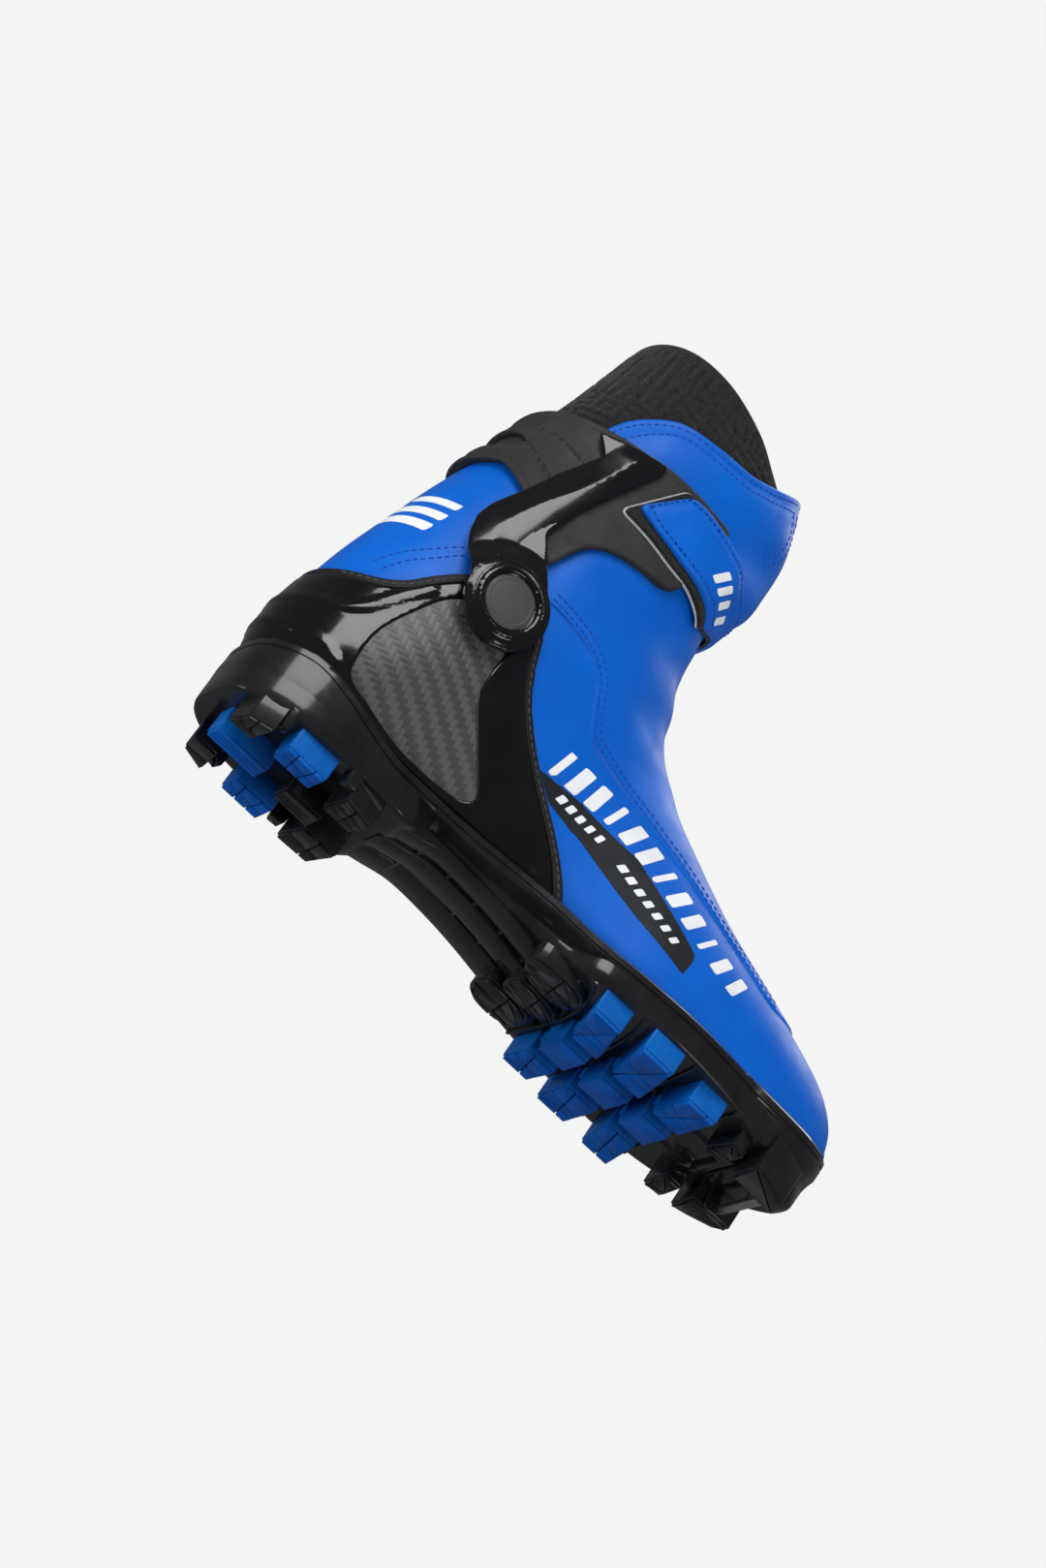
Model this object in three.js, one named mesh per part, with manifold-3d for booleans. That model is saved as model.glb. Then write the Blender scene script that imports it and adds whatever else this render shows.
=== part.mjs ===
// A cross-country ski boot for the right foot, with a hinged ankle cuff.
// Lengths are millimetres. While it is built, x runs from the back of the sole (0) to the toe, y is to the
// left (the inner side of the foot) and z is up from the ground. The last lines put the origin at the middle
// of the bounding box, on the ground.
import * as THREE from 'three';
import { mergeVertices } from 'three/addons/utils/BufferGeometryUtils.js';
import { ParametricGeometry } from 'three/addons/geometries/ParametricGeometry.js';
import Module from 'manifold-3d';

const wasm = await Module();
wasm.setup();

// ---------------------------------------------------------------- driving dimensions
const SOLE_LENGTH = 292;
const GAP = 0.3; // clearance between pieces that touch
const PIVOT = { x: 57, z: 93 }; // ankle hinge axis, parallel to y
const FAR = 120; // beyond every surface, for cutting prisms

// Layers of the upper, as offsets from its outer surface.
const LEATHER = [-2, 0];
const STIFFENER = [-3.6, -2.3];
const LINER = [-7.4, -5.2];
const TONGUE = [-8, -5.2];
const VAMP_START = 150; // where the quarters meet the vamp
const LACE_DEPTH = -3.7;
const LACE_RADIUS = 1;
const COUNTER = [0.3, 2.3];
const CUFF = [0.5, 3.9];
const ARM = [4.3, 7.5];

// Heights above the bottom of the upper.
const BOARD = [0.5, 2.3]; // lasting board, in the upper's open bottom
const FOOTBED = [7.4, 11];
const SHANK_SLOT = [62, 134, -5, 5, 14.6, 30]; // in the sole, open upwards: x, y and z from and to
const SHANK_TOP = 17.2;
const TREAD_TOP = 10; // flat underside of the outsole that the lugs stand on
const GROOVE_IN = 8.5; // the two guide grooves, between these distances from the middle
const GROOVE_OUT = 15.5;
const BAR = { x: 277, z: 7, radius: 2, length: 41 }; // binding bar at the toe
const RECESS_HALF = 17; // half width of the binding recess between the toe lugs

const PIVOT_RIVET_RADIUS = 4;
const BOSS_RADIUS = 17;
const CAP_RADIUS = 10;
// The stack on the hinge, as distances from the middle plane.
const STACK = { head: [35.3, 36], rivet: [35.3, 48.5], washer: [43.4, 44.6], boss: [45, 50.2], cap: [49, 50.6] };

// ---------------------------------------------------------------- materials
function material(color, roughness, metalness = 0) {
  return new THREE.MeshStandardMaterial({ color, roughness, metalness });
}
const blueLeather = material(0x1450c4, 0.45);
const blueRubber = material(0x1c4ea8, 0.5);
const blackRubber = material(0x17181a, 0.5);
const glossBlack = material(0x060607, 0.12);
const matteBlack = material(0x2a2a2b, 0.7);
const carbonWeave = material(0x3a3a3b, 0.5);
const knit = material(0x1b1b1c, 0.95);
const steel = material(0xb8b4ac, 0.3, 1);
const board = material(0x8a7a63, 0.9);
const foam = material(0x4a4d52, 0.95);
const velcro = material(0x0c0c0c, 1);
const nylon = material(0x303235, 0.6);

// ---------------------------------------------------------------- solids
function signedVolume(position, index) {
  const [a, b, c] = [new THREE.Vector3(), new THREE.Vector3(), new THREE.Vector3()];
  let volume = 0;
  for (let i = 0; i < index.length; i += 3) {
    a.fromArray(position, 3 * index[i]);
    b.fromArray(position, 3 * index[i + 1]);
    c.fromArray(position, 3 * index[i + 2]);
    volume += a.dot(b.cross(c)) / 6;
  }
  return volume;
}

// A closed geometry as a manifold-3d solid with its faces pointing out.
function solid(geometry) {
  const bare = geometry.index ? geometry.toNonIndexed() : geometry.clone();
  for (const name of Object.keys(bare.attributes)) {
    if (name !== 'position') bare.deleteAttribute(name);
  }
  const merged = mergeVertices(bare, 1e-4);
  const position = merged.attributes.position.array;
  const triangles = [];
  for (let i = 0; i < merged.index.count; i += 3) {
    const [a, b, c] = [0, 1, 2].map((k) => merged.index.array[i + k]);
    if (a !== b && b !== c && a !== c) triangles.push(a, b, c);
  }
  if (signedVolume(position, triangles) < 0) {
    for (let i = 0; i < triangles.length; i += 3) {
      [triangles[i + 1], triangles[i + 2]] = [triangles[i + 2], triangles[i + 1]];
    }
  }
  return new wasm.Manifold(
    new wasm.Mesh({ numProp: 3, vertProperties: position, triVerts: new Uint32Array(triangles) }),
  );
}

function toMesh(name, manifold, mat) {
  const bodies = manifold.decompose().sort((a, b) => b.volume() - a.volume());
  const made = bodies[0].getMesh();
  const geometry = new THREE.BufferGeometry();
  geometry.setAttribute('position', new THREE.BufferAttribute(new Float32Array(made.vertProperties), 3));
  geometry.setIndex(new THREE.BufferAttribute(made.triVerts, 1));
  geometry.computeVertexNormals();
  const mesh = new THREE.Mesh(geometry, mat);
  mesh.name = name;
  return mesh;
}

const unite = (...solids) => solids.reduce((a, b) => a.add(b));
const vec2 = (list) => list.map(([x, y]) => new THREE.Vector2(x, y));

function polygon(points) {
  return new THREE.Shape(vec2(points));
}

// A closed smooth outline through a few points.
function roundOutline(points, steps) {
  const curve = new THREE.CatmullRomCurve3(
    points.map(([x, y]) => new THREE.Vector3(x, y, 0)), true, 'centripetal');
  return new THREE.Shape(curve.getPoints(steps).slice(0, -1).map((p) => new THREE.Vector2(p.x, p.y)));
}

// A smooth open line through a few points, as [x, y] pairs.
function smoothLine(points, steps = 16) {
  return new THREE.SplineCurve(vec2(points)).getPoints(steps).map((p) => [p.x, p.y]);
}

// A shape in plan, between two heights.
function planPrism(shape, bottom, top) {
  const geometry = new THREE.ExtrudeGeometry(shape, { depth: top - bottom, bevelEnabled: false });
  return solid(geometry.translate(0, 0, bottom));
}

// A shape in the side view (x, z), between two values of y.
function sidePrism(shape, y0 = -FAR, y1 = FAR) {
  const geometry = new THREE.ExtrudeGeometry(shape, { depth: y1 - y0, bevelEnabled: false });
  return solid(geometry.rotateX(Math.PI / 2).translate(0, y1, 0));
}

// A round bar along y.
function crossBar(radius, x, z, y0, y1, sides = 20) {
  const geometry = new THREE.CylinderGeometry(radius, radius, y1 - y0, sides);
  return solid(geometry.translate(x, (y0 + y1) / 2, z));
}

function box(x0, x1, y0, y1, z0, z1) {
  const geometry = new THREE.BoxGeometry(x1 - x0, y1 - y0, z1 - z0);
  return solid(geometry.translate((x0 + x1) / 2, (y0 + y1) / 2, (z0 + z1) / 2));
}

// ---------------------------------------------------------------- the outer surface of the upper
// Cross-sections from the toe to the collar, which turn round the bend of the ankle. Each has its front (or
// top) point and its back (or bottom) point in the middle plane, its half width on the outer and inner
// sides, where along it the widest place is, and how square its front and back halves are.
const STATIONS = [
  [287, 43, 287, 22, 15, 15, 0.6, 2.2, 3],
  [281, 51, 281, 17, 23, 23, 0.62, 2.2, 3],
  [268, 57.5, 268, 15, 33, 33, 0.66, 2.2, 3.2],
  [250, 63, 250, 14, 40, 41, 0.7, 2.2, 3.4],
  [228, 69.5, 228, 13, 44, 43.5, 0.72, 2.2, 3.4],
  [205, 79, 205, 12, 45, 43, 0.74, 2.1, 3.4],
  [182, 91, 180, 12.5, 43.5, 40, 0.75, 2.1, 3.4],
  [163, 103, 153, 16, 38.5, 37, 0.74, 2.1, 3.2],
  [150, 115, 122, 20, 35, 35.5, 0.68, 2.1, 3],
  [143.5, 128, 90, 20.5, 35.5, 36, 0.6, 2.2, 2.8],
  [139, 140, 52, 18, 38, 38, 0.5, 2.3, 2.6],
  [137, 151, 14, 19, 40.5, 40.5, 0.45, 2.3, 2.4],
  [138, 163, 1, 45, 41, 41, 0.45, 2.2, 2.1],
  [141, 174, 6, 82, 41, 41, 0.47, 2.2, 2],
  [146, 184, 16, 120, 40, 40, 0.5, 2.2, 2],
  [147, 196, 27, 155, 39, 39, 0.5, 2.2, 2],
  [145, 210, 37, 188, 38.5, 38.5, 0.5, 2.2, 2.1],
  [141, 225, 43, 209, 38, 38, 0.5, 2.2, 2.1],
  [133, 252, 52, 247, 36, 36, 0.5, 2.2, 2.1],
].map(([fx, fz, bx, bz, outer, inner, widest, squareFront, squareBack]) => (
  { fx, fz, bx, bz, outer, inner, widest, squareFront, squareBack }));
const TOE_STATION_END = 0;
const TOP_STATION = STATIONS.length - 1;

function catmullRom(a, b, c, d, t) {
  return b + 0.5 * t * (c - a + t * (2 * a - 5 * b + 4 * c - d + t * (3 * (b - c) + d - a)));
}

// The section at any place between the stations.
function sectionAt(place) {
  const s = THREE.MathUtils.clamp(place, 0, TOP_STATION);
  const i = Math.min(Math.floor(s), TOP_STATION - 1);
  const near = [-1, 0, 1, 2].map((k) => STATIONS[THREE.MathUtils.clamp(i + k, 0, TOP_STATION)]);
  const section = {};
  for (const key of Object.keys(STATIONS[0])) {
    section[key] = catmullRom(...near.map((n) => n[key]), s - i);
  }
  return section;
}

// A point of the surface: angle 0 is the front or top, pi is the back or bottom, and the outer side of the
// foot (-y) comes first. A positive offset lies outside it.
function bodyPoint(place, angle, offset, target = new THREE.Vector3()) {
  const { fx, fz, bx, bz, outer, inner, widest, squareFront, squareBack } = sectionAt(place);
  const length = Math.hypot(bx - fx, bz - fz);
  const [dx, dz] = [(bx - fx) / length, (bz - fz) / length];
  const [c, s] = [Math.cos(angle), Math.sin(angle)];
  const square = c > 0 ? squareFront : squareBack;
  const reach = (c > 0 ? widest : 1 - widest) * length + offset;
  const along = widest * length - Math.sign(c) * Math.abs(c) ** (2 / square) * reach;
  const across = -Math.sign(s) * Math.abs(s) ** (2 / square) * ((s > 0 ? outer : inner) + offset);
  const toward = offset * Math.max(0, 1 - place / 2.5); // the toe end is drawn in or out along x as well
  return target.set(fx + dx * along + toward, across, fz + dz * along);
}

// The whole surface as a closed solid: a pole at the toe, and a flat cap above the collar. offset is a
// number, or a function of the surface point.
const [AROUND, ALONG] = [20, 26]; // faces round and along
function bodySolid(offset, around = AROUND, along = ALONG) {
  const from = TOE_STATION_END;
  const bare = new THREE.Vector3();
  const tip = sectionAt(from);
  const geometry = new ParametricGeometry((u, v, target) => {
    const row = Math.round(v * along);
    const place = from + (TOP_STATION - from) * Math.min(Math.max(row - 1, 0) / (along - 2), 1);
    const angle = 2 * Math.PI * (Math.round(u * around) % around) / around;
    const off = typeof offset === 'function' ? offset(bodyPoint(place, angle, 0, bare)) : offset;
    if (row === 0) {
      target.set((tip.fx + tip.bx) / 2 + 3 + off, 0, (tip.fz + tip.bz) / 2);
    } else if (row === along) {
      const end = sectionAt(TOP_STATION);
      target.set((end.fx + end.bx) / 2, 0, (end.fz + end.bz) / 2);
    } else {
      bodyPoint(place, angle, off, target);
    }
  }, around, along);
  return solid(geometry);
}

// A layer of the upper between two offsets, open at the collar.
function layer([inside, outside]) {
  return bodySolid(outside).subtract(bodySolid(inside));
}

// ---------------------------------------------------------------- outlines
// The outline of the sole's edge in plan, and the same drawn in by some distance.
const SOLE_PLAN = [
  [0, 0], [3, -17], [16, -28.5], [36, -33], [64, -32.5], [92, -31.5], [120, -33.5], [150, -40],
  [178, -46.5], [203, -48.5], [228, -45.5], [250, -38.5], [271, -28], [286, -14], [SOLE_LENGTH, 0],
  [287, 14], [274, 28], [256, 38], [236, 43], [212, 43], [185, 38.5], [155, 32], [120, 28.5], [92, 28.5],
  [64, 31], [36, 32.5], [16, 28], [3, 17],
];
function planInset(distance, steps = 56) {
  const curve = new THREE.CatmullRomCurve3(
    SOLE_PLAN.map(([x, y]) => new THREE.Vector3(x, y, 0)), true, 'centripetal');
  const points = [];
  for (let i = 0; i < steps; i++) {
    const [p, t] = [curve.getPoint(i / steps), curve.getTangent(i / steps)];
    points.push(new THREE.Vector2(p.x - t.y * distance, p.y + t.x * distance));
  }
  return new THREE.Shape(points);
}

// Side-view lines. The seam divides the wrap below it from the lace cover above it.
const SEAM = [[98, 106], [103, 102], [109, 92], [115, 84], [126, 81], [146, 77.5], [168, 72], [188, 66],
  [207, 61], [231, 54]];
// The flexing ring of the ankle lies between these two lines.
const FLEX_LOW = [[-20, 97], [20, 99], [57, 112], [104, 106], [135, 107], [158, 111], [175, 124], [330, 126]];
const FLEX_HIGH = [[-20, 141], [26, 142], [90, 144], [142, 148], [330, 152]];
// The top edges of the blue collar and of the knitted sock above it.
const COLLAR_TOP = [[-20, 172], [36, 172], [49, 181], [59, 198], [72, 208], [90, 211], [106, 213], [116, 218],
  [124, 223.5], [131, 230], [137, 236], [330, 238]];
const SOCK_TOP = [[-20, 243], [44, 243], [58, 245], [78, 240], [100, 231], [122, 220], [330, 206]];
// The bottom of the upper in the middle plane.
const FLOOR = [[-20, 19.5], [14, 19], [52, 18], [90, 20.5], [122, 20], [153, 16], [180, 12.5], [205, 12], [228, 13],
  [250, 14], [268, 15], [281, 17], [300, 23]];
// The heel counter's edge, from the back up to the hinge and down in front to the sole.
const COUNTER_EDGE = [[-20, 72], [8, 74], [19, 76], [26, 80], [33, 88], [40, 95], [49, 101], [60, 103.5], [71, 102],
  [76, 97], [80, 88], [86, 77.5], [93, 69.5], [104, 60], [116, 51], [125, 44], [134, 35.5], [142, 26],
  [147, 16]];

const above = (line, ceiling = 330) => [...line, [line.at(-1)[0], ceiling], [line[0][0], ceiling]];
const below = (line, floor = -60) => [...line, [line.at(-1)[0], floor], [line[0][0], floor]];
const shifted = (line, dz) => line.map(([x, z]) => [x, z + dz]);

// ---------------------------------------------------------------- the sole
const boot = new THREE.Group();
const add = (name, manifold, mat) => boot.add(toMesh(name, manifold, mat));

// A lug outline that is a leaning rectangle: its middle, its size and how far its outer end leans forward.
function lug(x, y, length, width, lean = 0) {
  const [l, w] = [length / 2, width / 2];
  return polygon([[x - l - lean, y - w], [x + l - lean, y - w], [x + l + lean, y + w], [x - l + lean, y + w]]);
}

const SOLE_RIM = [[-6, 33], [6, 35], [20, 35.5], [34, 32.5], [48, 28.5], [64, 25.5], [90, 26], [130, 26.5],
  [165, 23], [200, 22.5], [235, 23.5], [258, 26], [275, 30], [288, 35], [300, 39]];
const HEEL_LUGS = [
  [[10, -14], [20, -16], [21, -30], [12, -27]], [[9, 12], [20, 13], [23, 27], [12, 24]],
  [[43, -5.5], [60, -5.5], [60, 5.5], [43, 5.5]],
  [[55, -14], [69, -14], [70, -25], [57, -28]], [[60, 8], [76, 8], [72, 24], [58, 26]],
];
const TOE_LUGS = [
  [[244, -17.5], [254, -18], [254, -32], [246, -36]], [[251, 18], [260, 18], [261, 34], [252, 36]],
  [[259, -17], [280, -17], [277, -30], [259, -34]], [[265, 17], [284.5, 17], [282, 27], [265, 33]],
];
function outsole() {
  const underside = [[300, 20], [291, 14], [262, 13], [255, TREAD_TOP], [165, TREAD_TOP], [152, 12.5],
    [135, 15.5], [105, 17.5], [90, 16], [80, TREAD_TOP], [-6, TREAD_TOP]];
  const edge = sidePrism(polygon([...smoothLine(SOLE_RIM, 22), ...underside]));
  let sole = planPrism(planInset(0), 0, 60).intersect(edge);
  // The waist is drawn in below the edge, under a band that runs round the sole.
  const waistBand = sidePrism(polygon([[80, 0], [160, 0], [150, 18], [90, 21]]));
  sole = sole.subtract(waistBand.subtract(planPrism(planInset(8), 0, 60)));
  // Black lugs: two pairs under the heel with a small middle one, and two pairs beside the toe recess.
  const lugs = HEEL_LUGS.map((points) => planPrism(polygon(points), 0, TREAD_TOP + 1));
  lugs.push(...TOE_LUGS.map((points) => planPrism(polygon(points), 2.2, 18)));
  // Two rails and a middle rib cross the waist between the heel and the ball of the foot.
  const waistLine = [[80, 9], [100, 13.5], [130, 12.5], [164, 7.5]];
  const rail = [...smoothLine(waistLine, 8), [164, 16], [80, 18]];
  for (const y of [-19, 19]) lugs.push(sidePrism(polygon(rail), y - 3, y + 3));
  lugs.push(sidePrism(polygon(rail), -7, 7));
  sole = unite(sole, ...lugs).subtract(bodySolid(GAP));
  // The recess that the binding closes in, open forwards and downwards behind the bar.
  sole = sole.subtract(sidePrism(polygon([[261, -1], [300, -1], [300, 14], [257, 14]]), -RECESS_HALF, RECESS_HALF));
  sole = sole.subtract(crossBar(BAR.radius + GAP, BAR.x, BAR.z, -BAR.length / 2 - GAP, BAR.length / 2 + GAP, 12));
  return sole.subtract(box(...SHANK_SLOT));
}

function treads() {
  // Each forefoot row is three blocks joined by a thin web, with the guide grooves between the blocks.
  // The outer blocks lean: their far ends stand this far forward of their near ends.
  const rows = [
    { x: 186, length: 13.5, reach: [43, 34], lean: [-8, -1] },
    { x: 207, length: 15, reach: [46.5, 38.5], lean: [-6, 0] },
    { x: 227.5, length: 14, reach: [41, 40.5], lean: [0, 4] },
  ];
  rows.forEach(({ x, length, reach, lean }, i) => {
    const outer = (sign, k) => {
      const [y0, y1, l] = [sign * GROOVE_OUT, sign * reach[k], length / 2];
      return planPrism(polygon([[x - l, y0], [x + l, y0], [x + l + lean[k], y1], [x - l + lean[k], y1]]),
        0, TREAD_TOP - GAP);
    };
    const web = planPrism(lug(x, 0, length - 3, 2 * GROOVE_OUT + 4), TREAD_TOP - 2.2, TREAD_TOP - GAP);
    const middle = planPrism(lug(x, 0, length, 2 * GROOVE_IN), 0, TREAD_TOP - GAP);
    add(`tread_row_${i + 1}`, unite(outer(-1, 0), outer(1, 1), web, middle), blueRubber);
  });
  add('heel_tread_middle', planPrism(lug(22, 0, 24, 11), 0, TREAD_TOP - GAP), blueRubber);
  add('heel_tread_outer', planPrism(lug(38, -23, 18, 13), 0, TREAD_TOP - GAP), blueRubber);
  add('heel_tread_inner', planPrism(lug(40, 21.5, 18, 13), 0, TREAD_TOP - GAP), blueRubber);
}

function underfoot() {
  add('binding_bar', crossBar(BAR.radius, BAR.x, BAR.z, -BAR.length / 2, BAR.length / 2, 12), steel);
  const [x0, x1, y0, y1, z0] = SHANK_SLOT;
  add('shank_plate', box(x0 + GAP, x1 - GAP, y0 + GAP, y1 - GAP, z0 + GAP, SHANK_TOP), nylon);
  const slab = ([low, high], distance) => planPrism(planInset(distance, 36), 0, 60)
    .intersect(sidePrism(polygon([...shifted(FLOOR, low), ...shifted(FLOOR, high).toReversed()])));
  add('lasting_board', slab(BOARD, 14).intersect(bodySolid(0)), board);
  add('footbed', slab(FOOTBED, 9).intersect(bodySolid(LINER[0] - GAP)), foam);
}

// ---------------------------------------------------------------- the upper
const bottomOpening = planPrism(planInset(13, 36), -5, 60).intersect(sidePrism(polygon(below(shifted(FLOOR, BOARD[1] + 1)))));

// Holes for the hinge rivets.
const rivetHoles = crossBar(PIVOT_RIVET_RADIUS + GAP, PIVOT.x, PIVOT.z, -FAR, FAR, 16);

function upper() {
  const leather = layer(LEATHER).subtract(bottomOpening);
  const low = leather.intersect(sidePrism(polygon(below(shifted(FLEX_LOW, -GAP)))));
  const cover = sidePrism(polygon([...smoothLine(SEAM, 14), [260, 150], [98, 150]]));
  const inward = ([x, z]) => [x + (x < 165 ? 1.5 : -1.5) * GAP, z + GAP];
  const coverSmaller = sidePrism(polygon([...smoothLine(SEAM, 14), [260, 150], [98, 150]].map(inward)));
  const wrap = low.subtract(cover).subtract(rivetHoles);
  const rear = (y0, y1) => sidePrism(polygon([[-20, 0], [VAMP_START, 0], [VAMP_START, 130], [-20, 130]]), y0, y1);
  add('quarter_outer', wrap.intersect(rear(-FAR, -GAP / 2)), blueLeather);
  add('quarter_inner', wrap.intersect(rear(GAP / 2, FAR)), blueLeather);
  add('vamp', wrap.intersect(box(VAMP_START + GAP, 330, -FAR, FAR, 0, 130)), blueLeather);
  add('lace_cover', low.intersect(coverSmaller), blueLeather);
  const flexZone = sidePrism(polygon([...FLEX_LOW, ...shifted(FLEX_HIGH, -GAP).reverse()]));
  add('ankle_flex', leather.intersect(flexZone), blueLeather);
  const collarZone = sidePrism(polygon([...FLEX_HIGH, ...COLLAR_TOP.toReversed()]));
  add('collar', leather.intersect(collarZone), blueLeather);
}

function lining() {
  const sock = layer(LINER);
  const throat = sidePrism(polygon([[118, 150], [118, 98], [150, 92], [208, 70], [240, 90]]), -17, 17);
  const low = sock.intersect(sidePrism(polygon(below(shifted(FLEX_LOW, -GAP)))));
  add('liner_foot', low.subtract(throat), knit);
  const flexZone = sidePrism(polygon([...FLEX_LOW, ...shifted(FLEX_HIGH, -GAP).reverse()]));
  add('liner_ankle', sock.intersect(flexZone), knit);
  add('sock_collar', sock.intersect(sidePrism(polygon([...FLEX_HIGH, ...SOCK_TOP.toReversed()]))), knit);
  const tongueZone = sidePrism(polygon([[128, 150], [128, 98], [152, 92], [205, 72], [230, 90]]), -16.4, 16.4);
  const tongue = layer(TONGUE).intersect(tongueZone);
  add('tongue', tongue.intersect(sidePrism(polygon(below(shifted(FLEX_LOW, -3))))), foam);
  // The heel stiffener and toe puff stand between the leather and the lining.
  const stiff = layer(STIFFENER).subtract(bottomOpening);
  add('heel_stiffener', stiff.intersect(box(-20, 66, -FAR, FAR, 26, 66)), nylon);
  add('toe_puff', stiff.intersect(box(248, 330, -FAR, FAR, 24, 120)), nylon);
}

function laces() {
  // One cord in a zigzag over the tongue, under the lace cover.
  const [first, last, crossings] = [4.9, 7.6, 8];
  const points = [];
  for (let i = 0; i <= crossings; i++) {
    const place = first + (last - first) * i / crossings;
    const sign = i % 2 ? 1 : -1;
    points.push(bodyPoint(place, -sign * 0.28, LACE_DEPTH));
    if (i < crossings) points.push(bodyPoint(place + 0.5 * (last - first) / crossings, 0, LACE_DEPTH));
  }
  const section = new THREE.Shape();
  section.absarc(0, 0, LACE_RADIUS, 0, 2 * Math.PI);
  const geometry = new THREE.ExtrudeGeometry(section, {
    extrudePath: new THREE.CatmullRomCurve3(points, false, 'centripetal'), steps: 48, curveSegments: 3,
  });
  add('lace', solid(geometry), nylon);
}

// ---------------------------------------------------------------- the heel counter
const BINDING_WIDTH = 3.2;

// The zone below the counter's edge, drawn in by some distance.
function counterZone(distance) {
  const edge = COUNTER_EDGE.map(([x, z], i) => {
    const [a, b] = [COUNTER_EDGE[Math.max(i - 1, 0)], COUNTER_EDGE[Math.min(i + 1, COUNTER_EDGE.length - 1)]];
    const length = Math.hypot(b[0] - a[0], b[1] - a[1]);
    return [x + distance * (b[1] - a[1]) / length, z - distance * (b[0] - a[0]) / length];
  });
  return sidePrism(polygon(below(smoothLine(edge, 24), 10)));
}

// The outline of the woven panel in the counter's side, grown by some distance.
function panelOutline(grow) {
  const middle = { x: 57, z: 55 };
  const edge = [[43, 85], [34, 70], [29, 57], [28.5, 46], [31, 37], [42, 33.5], [65, 30], [90, 31.5], [94, 34],
    [83, 47], [72, 60], [70, 64], [69, 72], [68, 84], [57, 91]];
  return roundOutline(edge.map(([x, z]) => {
    const r = Math.hypot(x - middle.x, z - middle.z);
    return [x + grow * (x - middle.x) / r, z + grow * (z - middle.z) / r];
  }), 30);
}

function heelCounter() {
  const shell = layer(COUNTER).subtract(rivetHoles);
  const whole = shell.intersect(counterZone(0)).intersect(sidePrism(polygon(above(shifted(SOLE_RIM, GAP)))));
  const eye = (grow) => crossBar(12 + grow, PIVOT.x, PIVOT.z, -FAR, FAR, 20);
  const frame = whole.intersect(counterZone(BINDING_WIDTH + GAP));
  add('heel_counter', frame.subtract(sidePrism(panelOutline(GAP)).subtract(eye(0))), glossBlack);
  add('counter_binding', whole.subtract(counterZone(BINDING_WIDTH)), matteBlack);
  const panels = frame.intersect(sidePrism(panelOutline(0))).subtract(eye(GAP));
  add('side_panel_outer', panels.intersect(box(-50, 200, -FAR, -5, 0, 200)), carbonWeave);
  add('side_panel_inner', panels.intersect(box(-50, 200, 5, FAR, 0, 200)), carbonWeave);
}

// ---------------------------------------------------------------- the cuff
const STRAP = { inner: [4.3, 5.6], outer: [6.1, 8.2], ring: [4.4, 7.6] };
const STRAP_RING = [[97, 154], [105, 154], [105, 186], [97, 186]];
const ZIP = { from: { x: 168, z: 100.5 }, to: { x: 222, z: 73.5 }, y: 13, roll: -0.28 };
// The strap lies on the cuff's wing at the sides, and straight on the collar in front.
function strapOffset(height) {
  return (p) => height - 3.4 * THREE.MathUtils.smoothstep(p.x, 121, 136);
}
function strapLayer([inside, outside]) {
  return bodySolid(strapOffset(outside)).subtract(bodySolid(strapOffset(inside)));
}

function cuffShell() {
  const shell = layer(CUFF);
  // Two bands round the back of the leg with a slot between them, and a wing on each side.
  const outline = [[10, 151], [24, 151], [31, 152], [36, 147], [42, 140], [48, 131], [57, 123], [62, 119],
    [64, 123], [67, 130], [70, 136], [76, 141], [84, 144], [93, 146], [101, 147], [107, 150], [109, 158],
    [112, 186], [93, 187], [79, 187], [70, 186], [51, 186], [40, 187], [10, 186]];
  const slot = polygon([[10, 162], [31, 162], [35, 166], [32, 171], [10, 171]]);
  return shell.intersect(sidePrism(polygon(outline))).subtract(sidePrism(slot));
}

function cuffArm(sign) {
  const [y0, y1] = sign < 0 ? [-FAR, 0] : [0, FAR];
  const outline = [[42, 86], [39, 94], [33, 110], [32, 119], [34, 127], [40, 139], [47, 155], [56, 172],
    [50, 181], [60, 182.5], [77, 185], [77, 182], [68, 163], [61, 148], [56, 132], [55, 128], [61, 117], [74, 95]];
  const flat = bar(sign, 13, [0, STACK.boss[0]], 24);
  const plate = layer(ARM).intersect(sidePrism(polygon(outline), y0, y1)).subtract(flat);
  const boss = bar(sign, BOSS_RADIUS, STACK.boss, 32);
  const seat = bar(sign, CAP_RADIUS + GAP, [STACK.cap[0] - GAP, FAR], 28);
  const bore = bar(sign, PIVOT_RIVET_RADIUS + GAP, [0, FAR], 16);
  return unite(plate, boss).subtract(seat).subtract(bore);
}

// A round piece on the hinge axis, on one side of the boot.
function bar(sign, radius, [from, to], sides) {
  const [y0, y1] = sign < 0 ? [-to, -from] : [from, to];
  return crossBar(radius, PIVOT.x, PIVOT.z, y0, y1, sides);
}

function hinge(sign, label) {
  add(`cuff_arm_${label}`, cuffArm(sign), glossBlack);
  add(`pivot_cap_${label}`, bar(sign, CAP_RADIUS, STACK.cap, 28), matteBlack);
  add(`pivot_rivet_${label}`,
    unite(bar(sign, PIVOT_RIVET_RADIUS, STACK.rivet, 16), bar(sign, 6, STACK.head, 16)), steel);
  add(`pivot_washer_${label}`,
    bar(sign, 9, STACK.washer, 20).subtract(bar(sign, PIVOT_RIVET_RADIUS + GAP, [0, FAR], 16)), nylon);
}

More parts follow.
